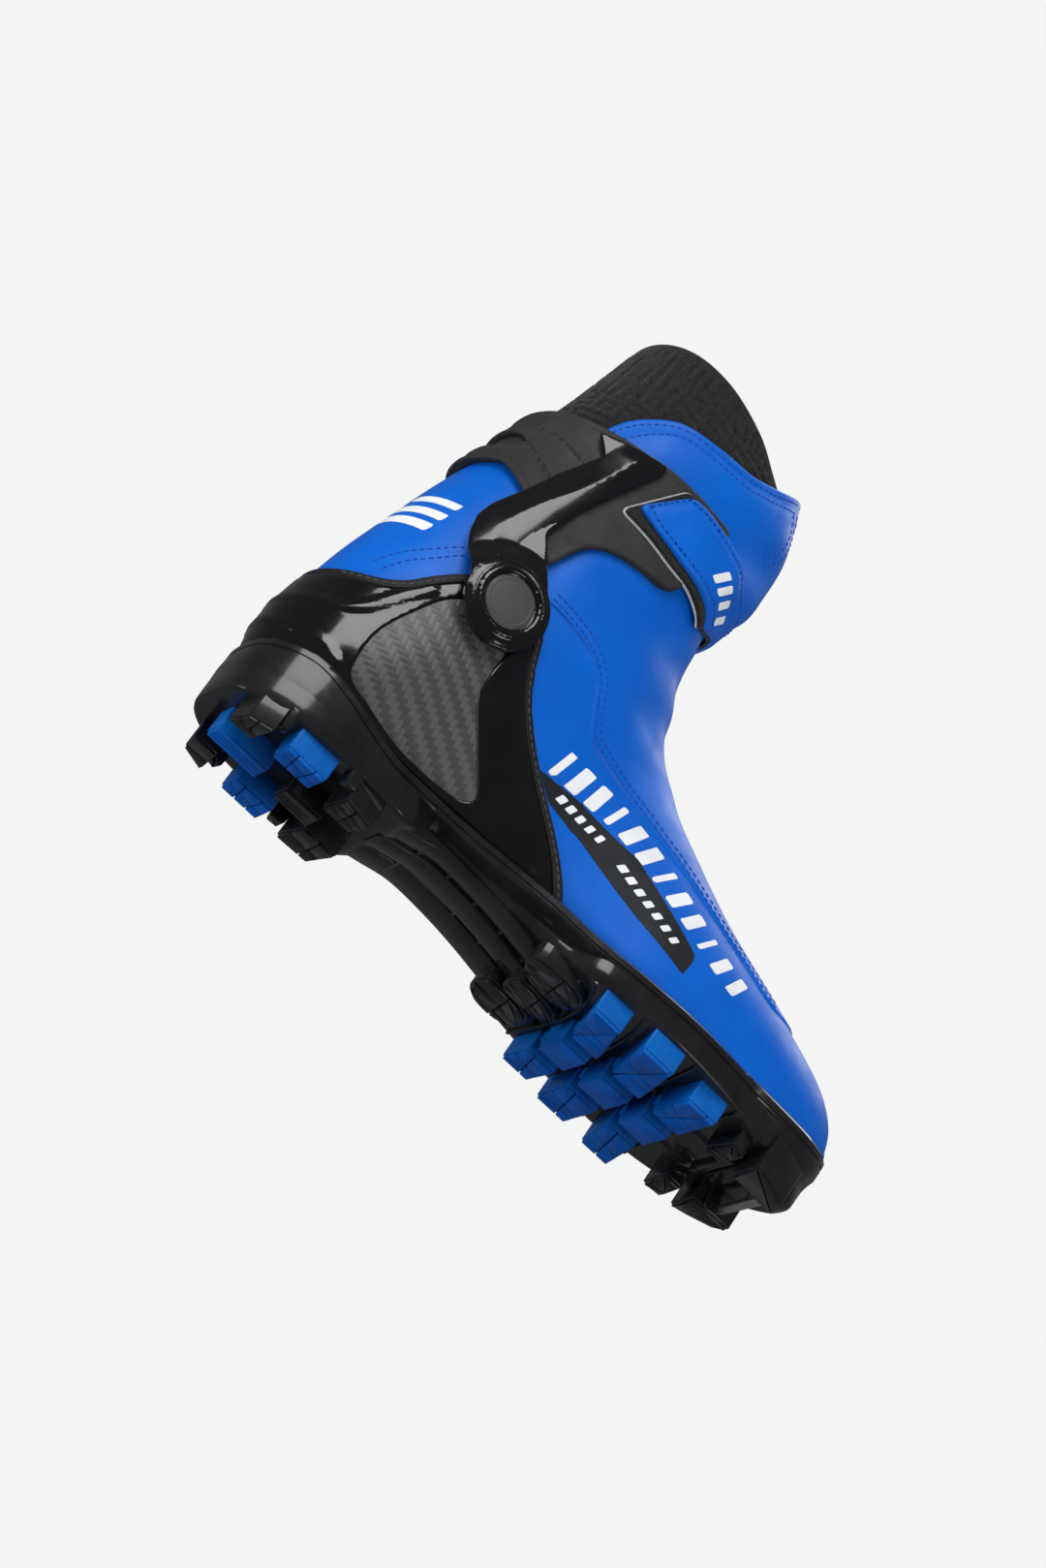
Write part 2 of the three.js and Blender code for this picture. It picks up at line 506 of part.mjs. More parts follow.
function strap() {
  const under = [[72, 158], [85, 157], [99, 155], [110, 155], [120, 153.5], [127, 151], [138, 146], [165, 140]];
  const over = [[89, 184], [99, 182.5], [112, 181], [123, 179], [132, 176.5], [145, 176], [165, 175]];
  const band = (low, high) => polygon([...low, ...high.toReversed()]);
  const innerRear = box(-50, STRAP_RING[0][0] + 9, 0, FAR, 0, 300);
  const base = strapLayer(STRAP.inner).intersect(sidePrism(band(under, shifted(over, -2))));
  add('strap_base', base.subtract(innerRear), velcro);
  const flapLow = [[75.5, 163], [86, 160.5], [100, 158.5], [114, 158], [126, 156.5], [133, 154], [141, 150], [165, 145]];
  const flap = strapLayer(STRAP.outer).intersect(sidePrism(band(flapLow, over)));
  add('strap_flap', flap.subtract(innerRear), blueLeather);
  add('strap_ring', strapLayer(STRAP.ring).intersect(sidePrism(polygon(STRAP_RING), 0, FAR)), steel);
}

// The zip that opens the lace cover: a straight chain on the inner side of the instep, and its slider.
function zip() {
  const chain = new THREE.Vector3(ZIP.to.x - ZIP.from.x, 0, ZIP.to.z - ZIP.from.z);
  const place = (geometry, along, rise) => {
    const tilt = Math.atan2(-chain.z, chain.x);
    return solid(geometry.rotateX(ZIP.roll).rotateY(tilt).translate(
      ZIP.from.x + chain.x * along - rise * chain.z / chain.length(), ZIP.y,
      ZIP.from.z + chain.z * along + rise * chain.x / chain.length()));
  };
  add('zip_chain', place(new THREE.BoxGeometry(chain.length(), 6, 1.4), 0.5, 0), nylon);
  const body = place(new THREE.BoxGeometry(10, 8, 2), 0.08, 2);
  add('zip_slider', body.add(place(new THREE.BoxGeometry(13, 4, 1.2), 0.08 + 10 / chain.length(), 2)), steel);
}

// ---------------------------------------------------------------- assembly
add('outsole', outsole(), blackRubber);
treads();
underfoot();
upper();
lining();
laces();
heelCounter();
add('cuff_shell', cuffShell(), matteBlack);
hinge(-1, 'outer');
hinge(1, 'inner');
strap();
zip();

const bounds = new THREE.Box3().setFromObject(boot);
boot.position.set(-(bounds.min.x + bounds.max.x) / 2, -(bounds.min.y + bounds.max.y) / 2, -bounds.min.z);
const whole = new THREE.Group();
whole.add(boot);

export default whole;
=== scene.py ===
"""A cross-country ski boot with a hinged ankle cuff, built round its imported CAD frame.

While a piece is being shaped its points are in millimetres: x from the back of the sole towards the toe, y to
the inner side of the foot, z up. metres() turns them into the frame's metres.
"""
import math

import bpy
import numpy as np
from mathutils import Matrix, Vector
from mathutils.bvhtree import BVHTree


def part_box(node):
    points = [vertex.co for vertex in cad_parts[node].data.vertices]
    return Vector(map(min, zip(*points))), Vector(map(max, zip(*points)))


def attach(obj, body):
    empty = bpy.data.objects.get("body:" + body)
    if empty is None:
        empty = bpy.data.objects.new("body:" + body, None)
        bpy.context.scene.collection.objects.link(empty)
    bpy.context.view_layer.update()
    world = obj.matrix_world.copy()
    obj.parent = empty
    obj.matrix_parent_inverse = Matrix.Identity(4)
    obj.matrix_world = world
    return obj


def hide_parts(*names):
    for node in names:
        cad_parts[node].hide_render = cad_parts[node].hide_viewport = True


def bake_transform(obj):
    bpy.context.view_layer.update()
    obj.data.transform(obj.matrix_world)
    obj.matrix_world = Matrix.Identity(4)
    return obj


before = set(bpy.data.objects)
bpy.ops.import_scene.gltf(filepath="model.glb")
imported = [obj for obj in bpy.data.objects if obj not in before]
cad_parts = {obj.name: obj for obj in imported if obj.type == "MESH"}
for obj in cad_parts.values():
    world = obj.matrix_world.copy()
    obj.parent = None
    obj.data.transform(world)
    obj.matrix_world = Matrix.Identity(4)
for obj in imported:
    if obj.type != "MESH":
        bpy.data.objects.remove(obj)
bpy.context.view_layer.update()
PIVOT = (57.0, 93.0)  # x and z of the cuff's hinge
cap_low, cap_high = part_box("pivot_cap_outer")
SHIFT = np.array([500 * (cap_low.x + cap_high.x) - PIVOT[0], 0.0, 0.0])


def metres(points):
    return (np.asarray(points, float) + SHIFT) / 1000


# ---------------------------------------------------------------- camera, light and floor
RIGHT = Vector((0.7026, -0.497, 0.5092))
UP = Vector((-0.6668, -0.21, 0.7151))
BACK = Vector((-0.2485, -0.842, -0.4789))
LOOK_AT = Vector(metres((114.6, 0, 71.0)))
CAMERA_DISTANCE = 1.7
BACKDROP = (0.905, 0.907, 0.91, 1)
camera_data = bpy.data.cameras.new("camera")
camera_data.lens = 106.98
camera_data.clip_start, camera_data.clip_end = 0.05, 50
camera = bpy.data.objects.new("camera", camera_data)
bpy.context.scene.collection.objects.link(camera)
turn = Matrix((RIGHT, UP, BACK)).transposed().to_4x4()
camera.matrix_world = Matrix.Translation(LOOK_AT + CAMERA_DISTANCE * BACK) @ turn
bpy.context.scene.camera = camera
bpy.context.scene.view_settings.view_transform = "Standard"


def area_light(name, right, up, back, size, power):
    """A soft light placed by its distances along the camera's own axes from the point looked at."""
    data = bpy.data.lights.new(name, "AREA")
    data.shape, data.size, data.size_y = "RECTANGLE", size[0], size[1]
    data.energy = power
    light = bpy.data.objects.new(name, data)
    bpy.context.scene.collection.objects.link(light)
    light.location = LOOK_AT + right * RIGHT + up * UP + back * BACK
    light.rotation_mode = "QUATERNION"
    light.rotation_quaternion = (LOOK_AT - light.location).to_track_quat("-Z", "Y")


area_light("key", 0.45, 1.3, 0.75, (1.1, 0.9), 20)
area_light("left", -1.3, 0.25, 0.7, (0.5, 1.4), 12)
area_light("fill", 0.9, -0.85, 1.1, (0.8, 0.7), 7)
area_light("rim", 0.9, 0.5, -1.0, (0.8, 1.2), 9)

world = bpy.data.worlds.new("studio")
bpy.context.scene.world = world
world.use_nodes = True
wn, wl = world.node_tree.nodes, world.node_tree.links
background = wn["Background"]
path, pick = wn.new("ShaderNodeLightPath"), wn.new("ShaderNodeMix")
pick.data_type = "RGBA"
pick.inputs["A"].default_value = (0.13, 0.132, 0.138, 1)
pick.inputs["B"].default_value = BACKDROP
wl.new(path.outputs["Is Camera Ray"], pick.inputs["Factor"])
wl.new(pick.outputs["Result"], background.inputs["Color"])


# ---------------------------------------------------------------- materials
class Finish:
    """A procedural material: a principled shader, and helpers that feed it."""

    def __init__(self, name, colour, roughness, metallic=0.0, **sockets):
        self.material = bpy.data.materials.new(name)
        self.material.use_nodes = True
        self.nodes = self.material.node_tree.nodes
        self.links = self.material.node_tree.links
        self.shader = self.nodes["Principled BSDF"]
        self.feed(self.shader, {"Base Color": (*colour, 1), "Roughness": roughness, "Metallic": metallic,
                                "Specular IOR Level": 0.5 if metallic else 0.22})
        self.feed(self.shader, {key.replace("_", " "): value for key, value in sockets.items()})
        place = self.node("TexCoord").outputs["Object"]
        self.mm = self.node("VectorMath", {0: place, "Scale": 1000}, operation="SCALE").outputs["Vector"]
        self.normal = None

    def feed(self, node, inputs):
        """Links an input to a value that is another node's output, and sets any other value on the socket."""
        for key, value in inputs.items():
            if isinstance(value, bpy.types.NodeSocket):
                self.links.new(value, node.inputs[key])
            else:
                node.inputs[key].default_value = value

    def node(self, kind, inputs=None, **settings):
        node = self.nodes.new("ShaderNode" + kind)
        for key, value in settings.items():
            setattr(node, key, value)
        self.feed(node, inputs or {})
        return node

    def stretched(self, x, y, z):
        return self.node("VectorMath", {0: self.mm, 1: (x, y, z)}, operation="MULTIPLY").outputs["Vector"]

    def noise(self, grain, detail=2.0, place=None):
        """Noise whose features are about this many millimetres."""
        inputs = {"Scale": 1 / grain, "Detail": detail, "Vector": place or self.mm}
        return self.node("TexNoise", inputs).outputs["Fac"]

    def cells(self, grain):
        return self.node("TexVoronoi", {"Scale": 1 / grain, "Vector": self.mm}).outputs["Distance"]

    def math(self, operation, a, b=0.0):
        return self.node("Math", {0: a, 1: b}, operation=operation).outputs[0]

    def parts(self):
        return self.node("SeparateXYZ", {0: self.mm}).outputs

    def spread(self, value, low, high, start=0.3, end=0.7):
        """A value between start and end, taken to between low and high."""
        inputs = {"From Min": start, "From Max": end, "To Min": low, "To Max": high, "Value": value}
        return self.node("MapRange", inputs).outputs["Result"]

    def colours(self, fac, a, b):
        mixed = self.node("Mix", {"A": (*a, 1), "B": (*b, 1), "Factor": fac}, data_type="RGBA")
        self.feed(self.shader, {"Base Color": mixed.outputs["Result"]})

    def roughness(self, fac, a, b):
        self.feed(self.shader, {"Roughness": self.spread(fac, a, b)})

    def bump(self, height, depth):
        """Relief of about this many millimetres."""
        below_it = {"Normal": self.normal} if self.normal else {}
        self.normal = self.node("Bump", {"Distance": depth / 1000, "Height": height, **below_it}).outputs["Normal"]
        self.feed(self.shader, {"Normal": self.normal})
        return self


def leather(name, dark, light, roughness=0.42):
    f = Finish(name, light, roughness)
    f.colours(f.spread(f.noise(28, 3), 0, 1), dark, light)
    f.roughness(f.noise(9, 3), roughness - 0.05, roughness + 0.08)
    f.bump(f.noise(9, 2), 0.10)
    f.bump(f.cells(0.75), 0.035)
    return f.bump(f.noise(0.35, 2), 0.02).material


def moulded(name, dark, light, roughness, grain=0.5, depth=0.03, coat=0.0, wave=0.0):
    f = Finish(name, light, roughness, Coat_Weight=coat, Coat_Roughness=0.08)
    f.colours(f.spread(f.noise(14, 3), 0, 1), dark, light)
    f.roughness(f.noise(4, 4), roughness * 0.82, roughness * 1.22)
    if wave:
        f.bump(f.noise(16, 1), wave)
    return f.bump(f.noise(grain, 2), depth).material


def twill(name):
    f = Finish(name, (0.05, 0.05, 0.05), 0.42, Coat_Weight=0.25, Coat_Roughness=0.3)
    x, _, z = f.parts()
    slope, pitch = 0.25, 2.3
    u = f.math("MULTIPLY", f.math("ADD", x, f.math("MULTIPLY", z, slope)), 1 / pitch)
    v = f.math("MULTIPLY", f.math("SUBTRACT", z, f.math("MULTIPLY", x, slope)), 1 / pitch)
    step = f.math("FLOORED_MODULO", f.math("ADD", f.math("FLOOR", u), f.math("FLOOR", v)), 4)
    warp = f.math("LESS_THAN", step, 1.5)
    along = f.math("SINE", f.math("MULTIPLY", f.math("FRACT", u), math.pi))
    across = f.math("SINE", f.math("MULTIPLY", f.math("FRACT", v), math.pi))
    top = f.math("MULTIPLY", warp, along)
    under = f.math("MULTIPLY", f.math("SUBTRACT", 1, warp), across)
    height = f.math("ADD", top, under)
    fibre = f.noise(0.25, 2, f.stretched(1, 1, 0.2))
    # Painted sheen: the cells with the warp on top are painted lighter, as if their tows caught the light; the fibre
    # noise adds a random tone.
    warp_sheen_and_fibre_tone = f.math("ADD", f.math("MULTIPLY", warp, 0.55), f.math("MULTIPLY", fibre, 0.5))
    f.colours(warp_sheen_and_fibre_tone, (0.034, 0.034, 0.035), (0.085, 0.085, 0.087))
    return f.bump(height, 0.14).bump(fibre, 0.02).material


def knit(name):
    f = Finish(name, (0.012, 0.012, 0.013), 0.9, Sheen_Weight=0.1, Sheen_Roughness=0.5)
    x, y, z = f.parts()
    wale = f.math("MULTIPLY", f.math("ADD", x, y), 2 * math.pi / 1.3)
    rise = f.math("MULTIPLY", z, 2 * math.pi / 0.9)
    loops = f.math("MULTIPLY", f.math("SINE", wale), f.math("SINE", rise))
    f.colours(f.spread(f.noise(1.2, 2), 0, 1), (0.005, 0.005, 0.006), (0.018, 0.018, 0.020))
    return f.bump(loops, 0.07).bump(f.noise(0.3, 2), 0.03).material


def pile(name, dark, light):
    f = Finish(name, light, 0.95, Sheen_Weight=0.12)
    f.colours(f.spread(f.noise(0.7, 3), 0, 1), dark, light)
    return f.bump(f.cells(0.55), 0.5).bump(f.noise(0.3, 3), 0.3).material


def thread(name, colour):
    f = Finish(name, colour, 0.6)
    f.colours(f.spread(f.noise(1.0, 2), 0, 1), tuple(0.7 * c for c in colour), colour)
    return f.bump(f.noise(0.2, 1), 0.05).material


def steel(name):
    f = Finish(name, (0.55, 0.53, 0.5), 0.28, 1.0)
    brushed = f.noise(0.25, 3, f.stretched(1, 0.05, 1))
    f.roughness(brushed, 0.2, 0.42)
    f.colours(f.noise(3, 3), (0.42, 0.4, 0.38), (0.62, 0.6, 0.57))
    return f.bump(brushed, 0.02).material


def foam(name, dark, light):
    f = Finish(name, light, 0.95)
    f.colours(f.spread(f.noise(3, 4), 0, 1), dark, light)
    return f.bump(f.cells(0.6), 0.15).material


BLUE = leather("blue_leather", (0.0, 0.092, 0.48), (0.0, 0.112, 0.55))
GLOSS = moulded("gloss_black", (0.002, 0.002, 0.0025), (0.004, 0.004, 0.005), 0.14, 0.6, 0.001, coat=0.6,
                wave=0.006)
MATTE = moulded("matte_black", (0.022, 0.022, 0.022), (0.034, 0.033, 0.033), 0.58, 0.35, 0.05)
CAP = moulded("cap_black", (0.05, 0.05, 0.05), (0.062, 0.061, 0.061), 0.5, 0.4, 0.04)
RUBBER = moulded("black_rubber", (0.006, 0.006, 0.007), (0.013, 0.013, 0.014), 0.22, 0.5, 0.012, coat=0.45,
                 wave=0.015)
BLUE_RUBBER = moulded("blue_rubber", (0.0, 0.078, 0.34), (0.0, 0.125, 0.48), 0.4, 0.5, 0.04)
TWILL, KNIT = twill("woven_panel"), knit("knit")
PILE = pile("hook_pile", (0.003, 0.003, 0.003), (0.012, 0.012, 0.012))
TAPE = thread("edge_tape", (0.012, 0.012, 0.013))
PALE = thread("pale_edge", (0.45, 0.46, 0.48))
BLUE_THREAD = thread("blue_thread", (0.004, 0.075, 0.46))
BLACK_THREAD = thread("black_thread", (0.075, 0.075, 0.078))
WHITE = moulded("white_print", (0.72, 0.74, 0.77), (0.82, 0.83, 0.85), 0.45, 0.7, 0.02)
BLACK_PRINT = moulded("black_print", (0.012, 0.013, 0.016), (0.02, 0.021, 0.025), 0.42, 0.7, 0.02)
STEEL = steel("steel")
FOAM = foam("footbed_fabric", (0.03, 0.033, 0.038), (0.07, 0.075, 0.085))
BOARD = foam("fibre_board", (0.2, 0.16, 0.11), (0.3, 0.24, 0.17))
NYLON = moulded("nylon", (0.022, 0.023, 0.026), (0.035, 0.037, 0.04), 0.4, 0.4, 0.03)


# ---------------------------------------------------------------- the surface of the upper
# Each section: its front or upper end (x, z), its back or lower end (x, z), the outer and inner half widths,
# the share of its length at which it is widest, and how square its two ends are.
STATIONS = np.array([
    (287, 43, 287, 22, 15, 15, 0.6, 2.2, 3), (281, 51, 281, 17, 23, 23, 0.62, 2.2, 3),
    (268, 57.5, 268, 15, 33, 33, 0.66, 2.2, 3.2), (250, 63, 250, 14, 40, 41, 0.7, 2.2, 3.4),
    (228, 69.5, 228, 13, 44, 43.5, 0.72, 2.2, 3.4), (205, 79, 205, 12, 45, 43, 0.74, 2.1, 3.4),
    (182, 91, 180, 12.5, 43.5, 40, 0.75, 2.1, 3.4), (163, 103, 153, 16, 38.5, 37, 0.74, 2.1, 3.2),
    (150, 115, 122, 20, 35, 35.5, 0.68, 2.1, 3), (143.5, 128, 90, 20.5, 35.5, 36, 0.6, 2.2, 2.8),
    (139, 140, 52, 18, 38, 38, 0.5, 2.3, 2.6), (137, 151, 14, 19, 40.5, 40.5, 0.45, 2.3, 2.4),
    (138, 163, 1, 45, 41, 41, 0.45, 2.2, 2.1), (141, 174, 6, 82, 41, 41, 0.47, 2.2, 2),
    (146, 184, 16, 120, 40, 40, 0.5, 2.2, 2), (147, 196, 27, 155, 39, 39, 0.5, 2.2, 2),
    (145, 210, 37, 188, 38.5, 38.5, 0.5, 2.2, 2.1), (141, 225, 43, 209, 38, 38, 0.5, 2.2, 2.1),
    (133, 252, 52, 247, 36, 36, 0.5, 2.2, 2.1)], float)
TOP = len(STATIONS) - 1
STATION_GAP, HALF_GIRTH = 17, 65  # about, in millimetres
TOE_CAP = -1.0  # places from here to 0 close the toe
OUTER, INNER, BOTH = -1, 1, 0  # sides of the foot
SIDES = ((OUTER, "outer"), (INNER, "inner"))


def surface(place, angle, off):
    """Points of the upper at places along it and angles round it, this far outside its outer face."""
    s = np.clip(place, 0, TOP)
    i = np.minimum(s.astype(int), TOP - 1)
    t = (s - i)[:, None]
    a, b, c, d = (STATIONS[np.clip(i + k, 0, TOP)] for k in (-1, 0, 1, 2))
    row = b + 0.5 * t * (c - a + t * (2 * a - 5 * b + 4 * c - d + t * (3 * (b - c) + d - a)))
    fx, fz, bx, bz, outer, inner, widest, q_front, q_back = row.T
    length = np.hypot(bx - fx, bz - fz)
    dx, dz = (bx - fx) / length, (bz - fz) / length
    cos, sin = np.cos(angle), np.sin(angle)
    square = np.where(cos > 0, q_front, q_back)
    reach = np.where(cos > 0, widest, 1 - widest) * length + off
    along = widest * length - np.sign(cos) * np.abs(cos) ** (2 / square) * reach
    width = np.where(sin > 0, outer, inner) + off
    across = -np.sign(sin) * np.abs(sin) ** (2 / square) * width
    toward = off * np.clip(1 - place / 2.5, 0, 1)
    points = np.stack([fx + dx * along + toward, across, fz + dz * along], 1)
    cap = np.clip(-place, 0, 1) * math.pi / 2  # the toe end is a shallow dome
    middle = np.stack([(fx + bx) / 2 + off, 0 * fx, (fz + bz) / 2], 1)
    domed = middle + (points - middle) * np.cos(cap)[:, None]
    domed[:, 0] += 3 * np.sin(cap)
    return np.where((place < 0)[:, None], domed, points)


def smooth(x, start, end):
    t = np.clip((x - start) / (end - start), 0, 1)
    return t * t * (3 - 2 * t)


def smooth_down(x, high, low):
    return 1 - smooth(x, low, high)


# ---------------------------------------------------------------- outlines
def curve(points, closed=False, step=2.0):
    """A centripetal spline through the points."""
    p = np.asarray(points, float)
    n, out = len(p), []
    for i in range(n if closed else n - 1):
        before = p[i - 1] if closed or i else 2 * p[0] - p[1]
        a, b = p[i], p[(i + 1) % n]
        after = p[(i + 2) % n] if closed or i + 2 < n else 2 * p[-1] - p[-2]
        knots = [0.0]
        for u, v in ((before, a), (a, b), (b, after)):
            knots.append(knots[-1] + max(np.linalg.norm(v - u), 1e-6) ** 0.5)
        t0, t1, t2, t3 = knots
        for t in np.linspace(t1, t2, max(2, int(np.linalg.norm(b - a) / step) + 1), endpoint=False):
            a1 = (t1 - t) / (t1 - t0) * before + (t - t0) / (t1 - t0) * a
            a2 = (t2 - t) / (t2 - t1) * a + (t - t1) / (t2 - t1) * b
            a3 = (t3 - t) / (t3 - t2) * b + (t - t2) / (t3 - t2) * after
            b1 = (t2 - t) / (t2 - t0) * a1 + (t - t0) / (t2 - t0) * a2
            b2 = (t3 - t) / (t3 - t1) * a2 + (t - t1) / (t3 - t1) * a3
            out.append((t2 - t) / (t2 - t1) * b1 + (t - t1) / (t2 - t1) * b2)
    if not closed:
        out.append(p[-1])
    return np.array(out)


def fillet(points, radius, steps=5):
    """A closed polygon with its corners rounded."""
    p = np.asarray(points, float)
    out = []
    for i in range(len(p)):
        a, b, c = p[i - 1], p[i], p[(i + 1) % len(p)]
        u, v = a - b, c - b
        lu, lv = np.linalg.norm(u), np.linalg.norm(v)
        k = min(radius, 0.45 * lu, 0.45 * lv)
        s, e = b + u / lu * k, b + v / lv * k
        out += [(1 - t) ** 2 * s + 2 * t * (1 - t) * b + t * t * e for t in np.linspace(0, 1, steps)]
    return np.array(out)


def distance(line, closed=False):
    """A function giving the distance to a line in the side view; signed, positive inside, for a closed one."""
    a = np.asarray(line, float)
    b = np.roll(a, -1, 0)
    pairs = list(zip(a, b)) if closed else list(zip(a[:-1], a[1:]))

    def measure(x, z):
        best, inside = np.full(x.shape, 1e9), np.zeros(x.shape, bool)
        for (ax, az), (bx, bz) in pairs:
            dx, dz = bx - ax, bz - az
            t = np.clip(((x - ax) * dx + (z - az) * dz) / (dx * dx + dz * dz + 1e-12), 0, 1)
            best = np.minimum(best, (x - ax - t * dx) ** 2 + (z - az - t * dz) ** 2)
            if closed:
                cross = (az > z) != (bz > z)
                inside ^= cross & (x < dx * (z - az) / (dz if dz else 1e-12) + ax)
        return np.where(inside, 1, -1) * np.sqrt(best) if closed else np.sqrt(best)

    return measure


def inside(outline):
    return distance(outline, closed=True)


def below(line, floor=-60):
    return inside([*line, (line[-1][0], floor), (line[0][0], floor)])


def moved(line, away):
    """A line moved sideways, to its left where away is positive."""
    p = np.asarray(line, float)
    t = np.gradient(p, axis=0)
    t /= np.linalg.norm(t, axis=1)[:, None]
    return p + away * np.stack([-t[:, 1], t[:, 0]], 1)


# ---------------------------------------------------------------- meshes
def rings(rows, count, closed=True):
    """The faces between rows of count points, each row a ring, or a line where closed is false."""
    return [(count * i + j, count * i + (j + 1) % count, count * (i + 1) + (j + 1) % count, count * (i + 1) + j)
            for i in range(rows - 1) for j in range(count if closed else count - 1)]


def caps(rows, count):
    """The faces that close the first and the last ring."""
    return [tuple(range(count))[::-1], tuple(range(count * (rows - 1), count * rows))]


def turned(faces):
    """The same faces seen from the other side, each from the same first corner."""
    return [(f[0], *f[:0:-1]) for f in faces]


def squares(rows, columns):
    """The four corners of each cell of a grid, as four arrays."""
    first = (np.arange(rows)[:, None] * (columns + 1) + np.arange(columns)).ravel()
    return first, first + 1, first + columns + 2, first + columns + 1


def oblong(x0, y0, x1, y1):
    return [(x0, y0), (x1, y0), (x1, y1), (x0, y1)]


def make(name, points, faces, material, sharp=38):
    mesh = bpy.data.meshes.new(name)
    mesh.from_pydata(metres(points).tolist(), [], [list(map(int, f)) for f in faces])
    mesh.validate()
    mesh.shade_smooth()
    mesh.set_sharp_from_angle(angle=math.radians(sharp))
    mesh.materials.append(material)
    piece = bpy.data.objects.new(name, mesh)
    bpy.context.scene.collection.objects.link(piece)
    return piece


def split(table, triangles, level_of):
    """Cuts triangles along the line where level_of(table) is zero; new corners are interpolated."""
    f = level_of(table)
    f = np.where(np.abs(f) < 1e-4, 1e-4, f)
    positive = f > 0
    count = positive[triangles].sum(1)
    mixed = (count == 1) | (count == 2)
    kept, cut = triangles[~mixed], triangles[mixed]
    if not len(cut):
        return table, triangles
    odd = positive[cut] == (count[mixed] == 1)[:, None]
    first = odd.argmax(1)
    rows = np.arange(len(cut))
    lone, p, q = (cut[rows, (first + k) % 3] for k in range(3))
    ends = np.sort(np.stack([np.concatenate([lone, lone]), np.concatenate([p, q])], 1), 1)
    unique, index = np.unique(ends, axis=0, return_inverse=True)
    index = index.reshape(-1)
    a, b = unique.T
    t = (f[a] / (f[a] - f[b]))[:, None]
    new = table[a] + t * (table[b] - table[a])
    e1, e2 = len(table) + index[:len(cut)], len(table) + index[len(cut):]
    made = [np.stack(c, 1) for c in ((lone, e1, e2), (e1, p, q), (e1, q, e2))]
    return np.vstack([table, new]), np.vstack([kept, *made])


def weld(points, triangles):
    """Joins points closer than a few thousandths of a millimetre and drops the triangles that close up."""
    _, first, index = np.unique(np.round(points / 0.004).astype(np.int64), axis=0,
                                return_index=True, return_inverse=True)
    tri = index.reshape(-1)[triangles]
    good = (tri[:, 0] != tri[:, 1]) & (tri[:, 1] != tri[:, 2]) & (tri[:, 2] != tri[:, 0])
    return first, tri[good]


def turns(side, step):
    """Angles round the surface about this many millimetres apart, closer at the sides, where it turns fastest."""
    t = np.linspace(-1, 1, 2 * int(HALF_GIRTH / step) + 1)
    half = math.pi / 2 * (1 + np.sign(t) * (0.6 * np.abs(t) + 0.4 * np.abs(t) ** 1.6))
    return {OUTER: half, INNER: half - math.pi, BOTH: np.concatenate([half - math.pi, half[1:]])}[side]


TREES = {}


def panel(name, material, off, field, side=BOTH, places=(TOE_CAP, TOP), step=1.3, radius=0.7, relief=None,
          cuts=(), lift=None, shape=None, sharp=38, rounds=(0.13, 0.5, 1.0), based=None):
    """A layer of the boot: the part of the offset surface where field(x, y, z) is positive, with its outer edge
    rounded to radius. relief(x, y, z, d, *cut values) raises its outer face; cuts are (function of x and z,
    levels) whose level lines become mesh edges. All of them are measured at the layer's middle, or at based."""
    low, high = off
    based = (low + high) / 2 if based is None else based
    nu = max(2, int((places[1] - places[0]) * STATION_GAP / step))
    angles = turns(side, step)
    nv = len(angles) - 1
    u, v = np.meshgrid(np.linspace(*places, nu + 1), angles, indexing="ij")
    table = np.stack([u.ravel(), v.ravel()], 1)
    a, b, c, d = squares(nu, nv)
    triangles = np.vstack([np.stack([a, b, c], 1), np.stack([a, c, d], 1)])
    base = surface(table[:, 0], table[:, 1], np.full(len(table), based))
    x, y, z = base.T
    columns = [field(x, y, z)] + [f(x, z) for f, _ in cuts]
    near = columns[0] > -4 * step
    triangles = triangles[near[triangles].all(1)]
    used, index = np.unique(triangles, return_inverse=True)
    triangles = index.reshape(-1, 3)
    table = np.hstack([table[used], np.stack(columns, 1)[used]])
    table, triangles = split(table, triangles, lambda t: t[:, 2])
    triangles = triangles[(table[triangles, 2] > -1e-3).all(1)]
    for share in rounds:
        table, triangles = split(table, triangles, lambda t: t[:, 2] - share * radius)
    for k, (_, levels) in enumerate(cuts):
        for value in levels:
            table, triangles = split(table, triangles, lambda t: t[:, 3 + k] - value)
    d = np.maximum(table[:, 2], 0)
    near_edge = radius - np.minimum(d, radius)
    drop = radius - np.sqrt(np.maximum(radius ** 2 - near_edge ** 2, 0))
    place, angle = table[:, 0], table[:, 1]
    base = surface(place, angle, np.full(len(table), based))
    x, y, z = base.T
    up = high - np.minimum(drop, 0.9 * (high - low))
    if relief:
        up = up + relief(x, y, z, d, *table[:, 3:].T)
    down = np.full(len(table), low)
    if lift:
        up, down = up + lift(x, y, z), down + lift(x, y, z)
    top, under = surface(place, angle, up), surface(place, angle, down)
    if shape:
        top, under = shape(top, True), shape(under, False)
    first, triangles = weld(top, triangles)
    top, under = top[first], under[first]
    normal = np.cross(top[triangles[:, 1]] - top[triangles[:, 0]], top[triangles[:, 2]] - top[triangles[:, 0]])
    if (normal * (top - under)[triangles[:, 0]]).sum() < 0:
        triangles = triangles[:, ::-1]
    n = len(top)
    edges = np.vstack([triangles[:, [0, 1]], triangles[:, [1, 2]], triangles[:, [2, 0]]])
    ordered = np.sort(edges, 1)
    _, index, count = np.unique(ordered, axis=0, return_inverse=True, return_counts=True)
    rim = edges[count[index.reshape(-1)] == 1]
    walls = np.stack([rim[:, 1], rim[:, 0], rim[:, 0] + n, rim[:, 1] + n], 1)
    faces = [*triangles.tolist(), *(triangles[:, ::-1] + n).tolist(), *walls.tolist()]
    TREES[name] = BVHTree.FromPolygons(top.tolist(), triangles.tolist())
    return make(name, np.vstack([top, under]), faces, material, sharp)


def on(tree, x, z, side):
    """The point and normal where a line along y meets the outer face of a piece, from one side."""
    return TREES[tree].ray_cast(Vector((x, side * 200, z)), Vector((0, -side, 0)))[:2]


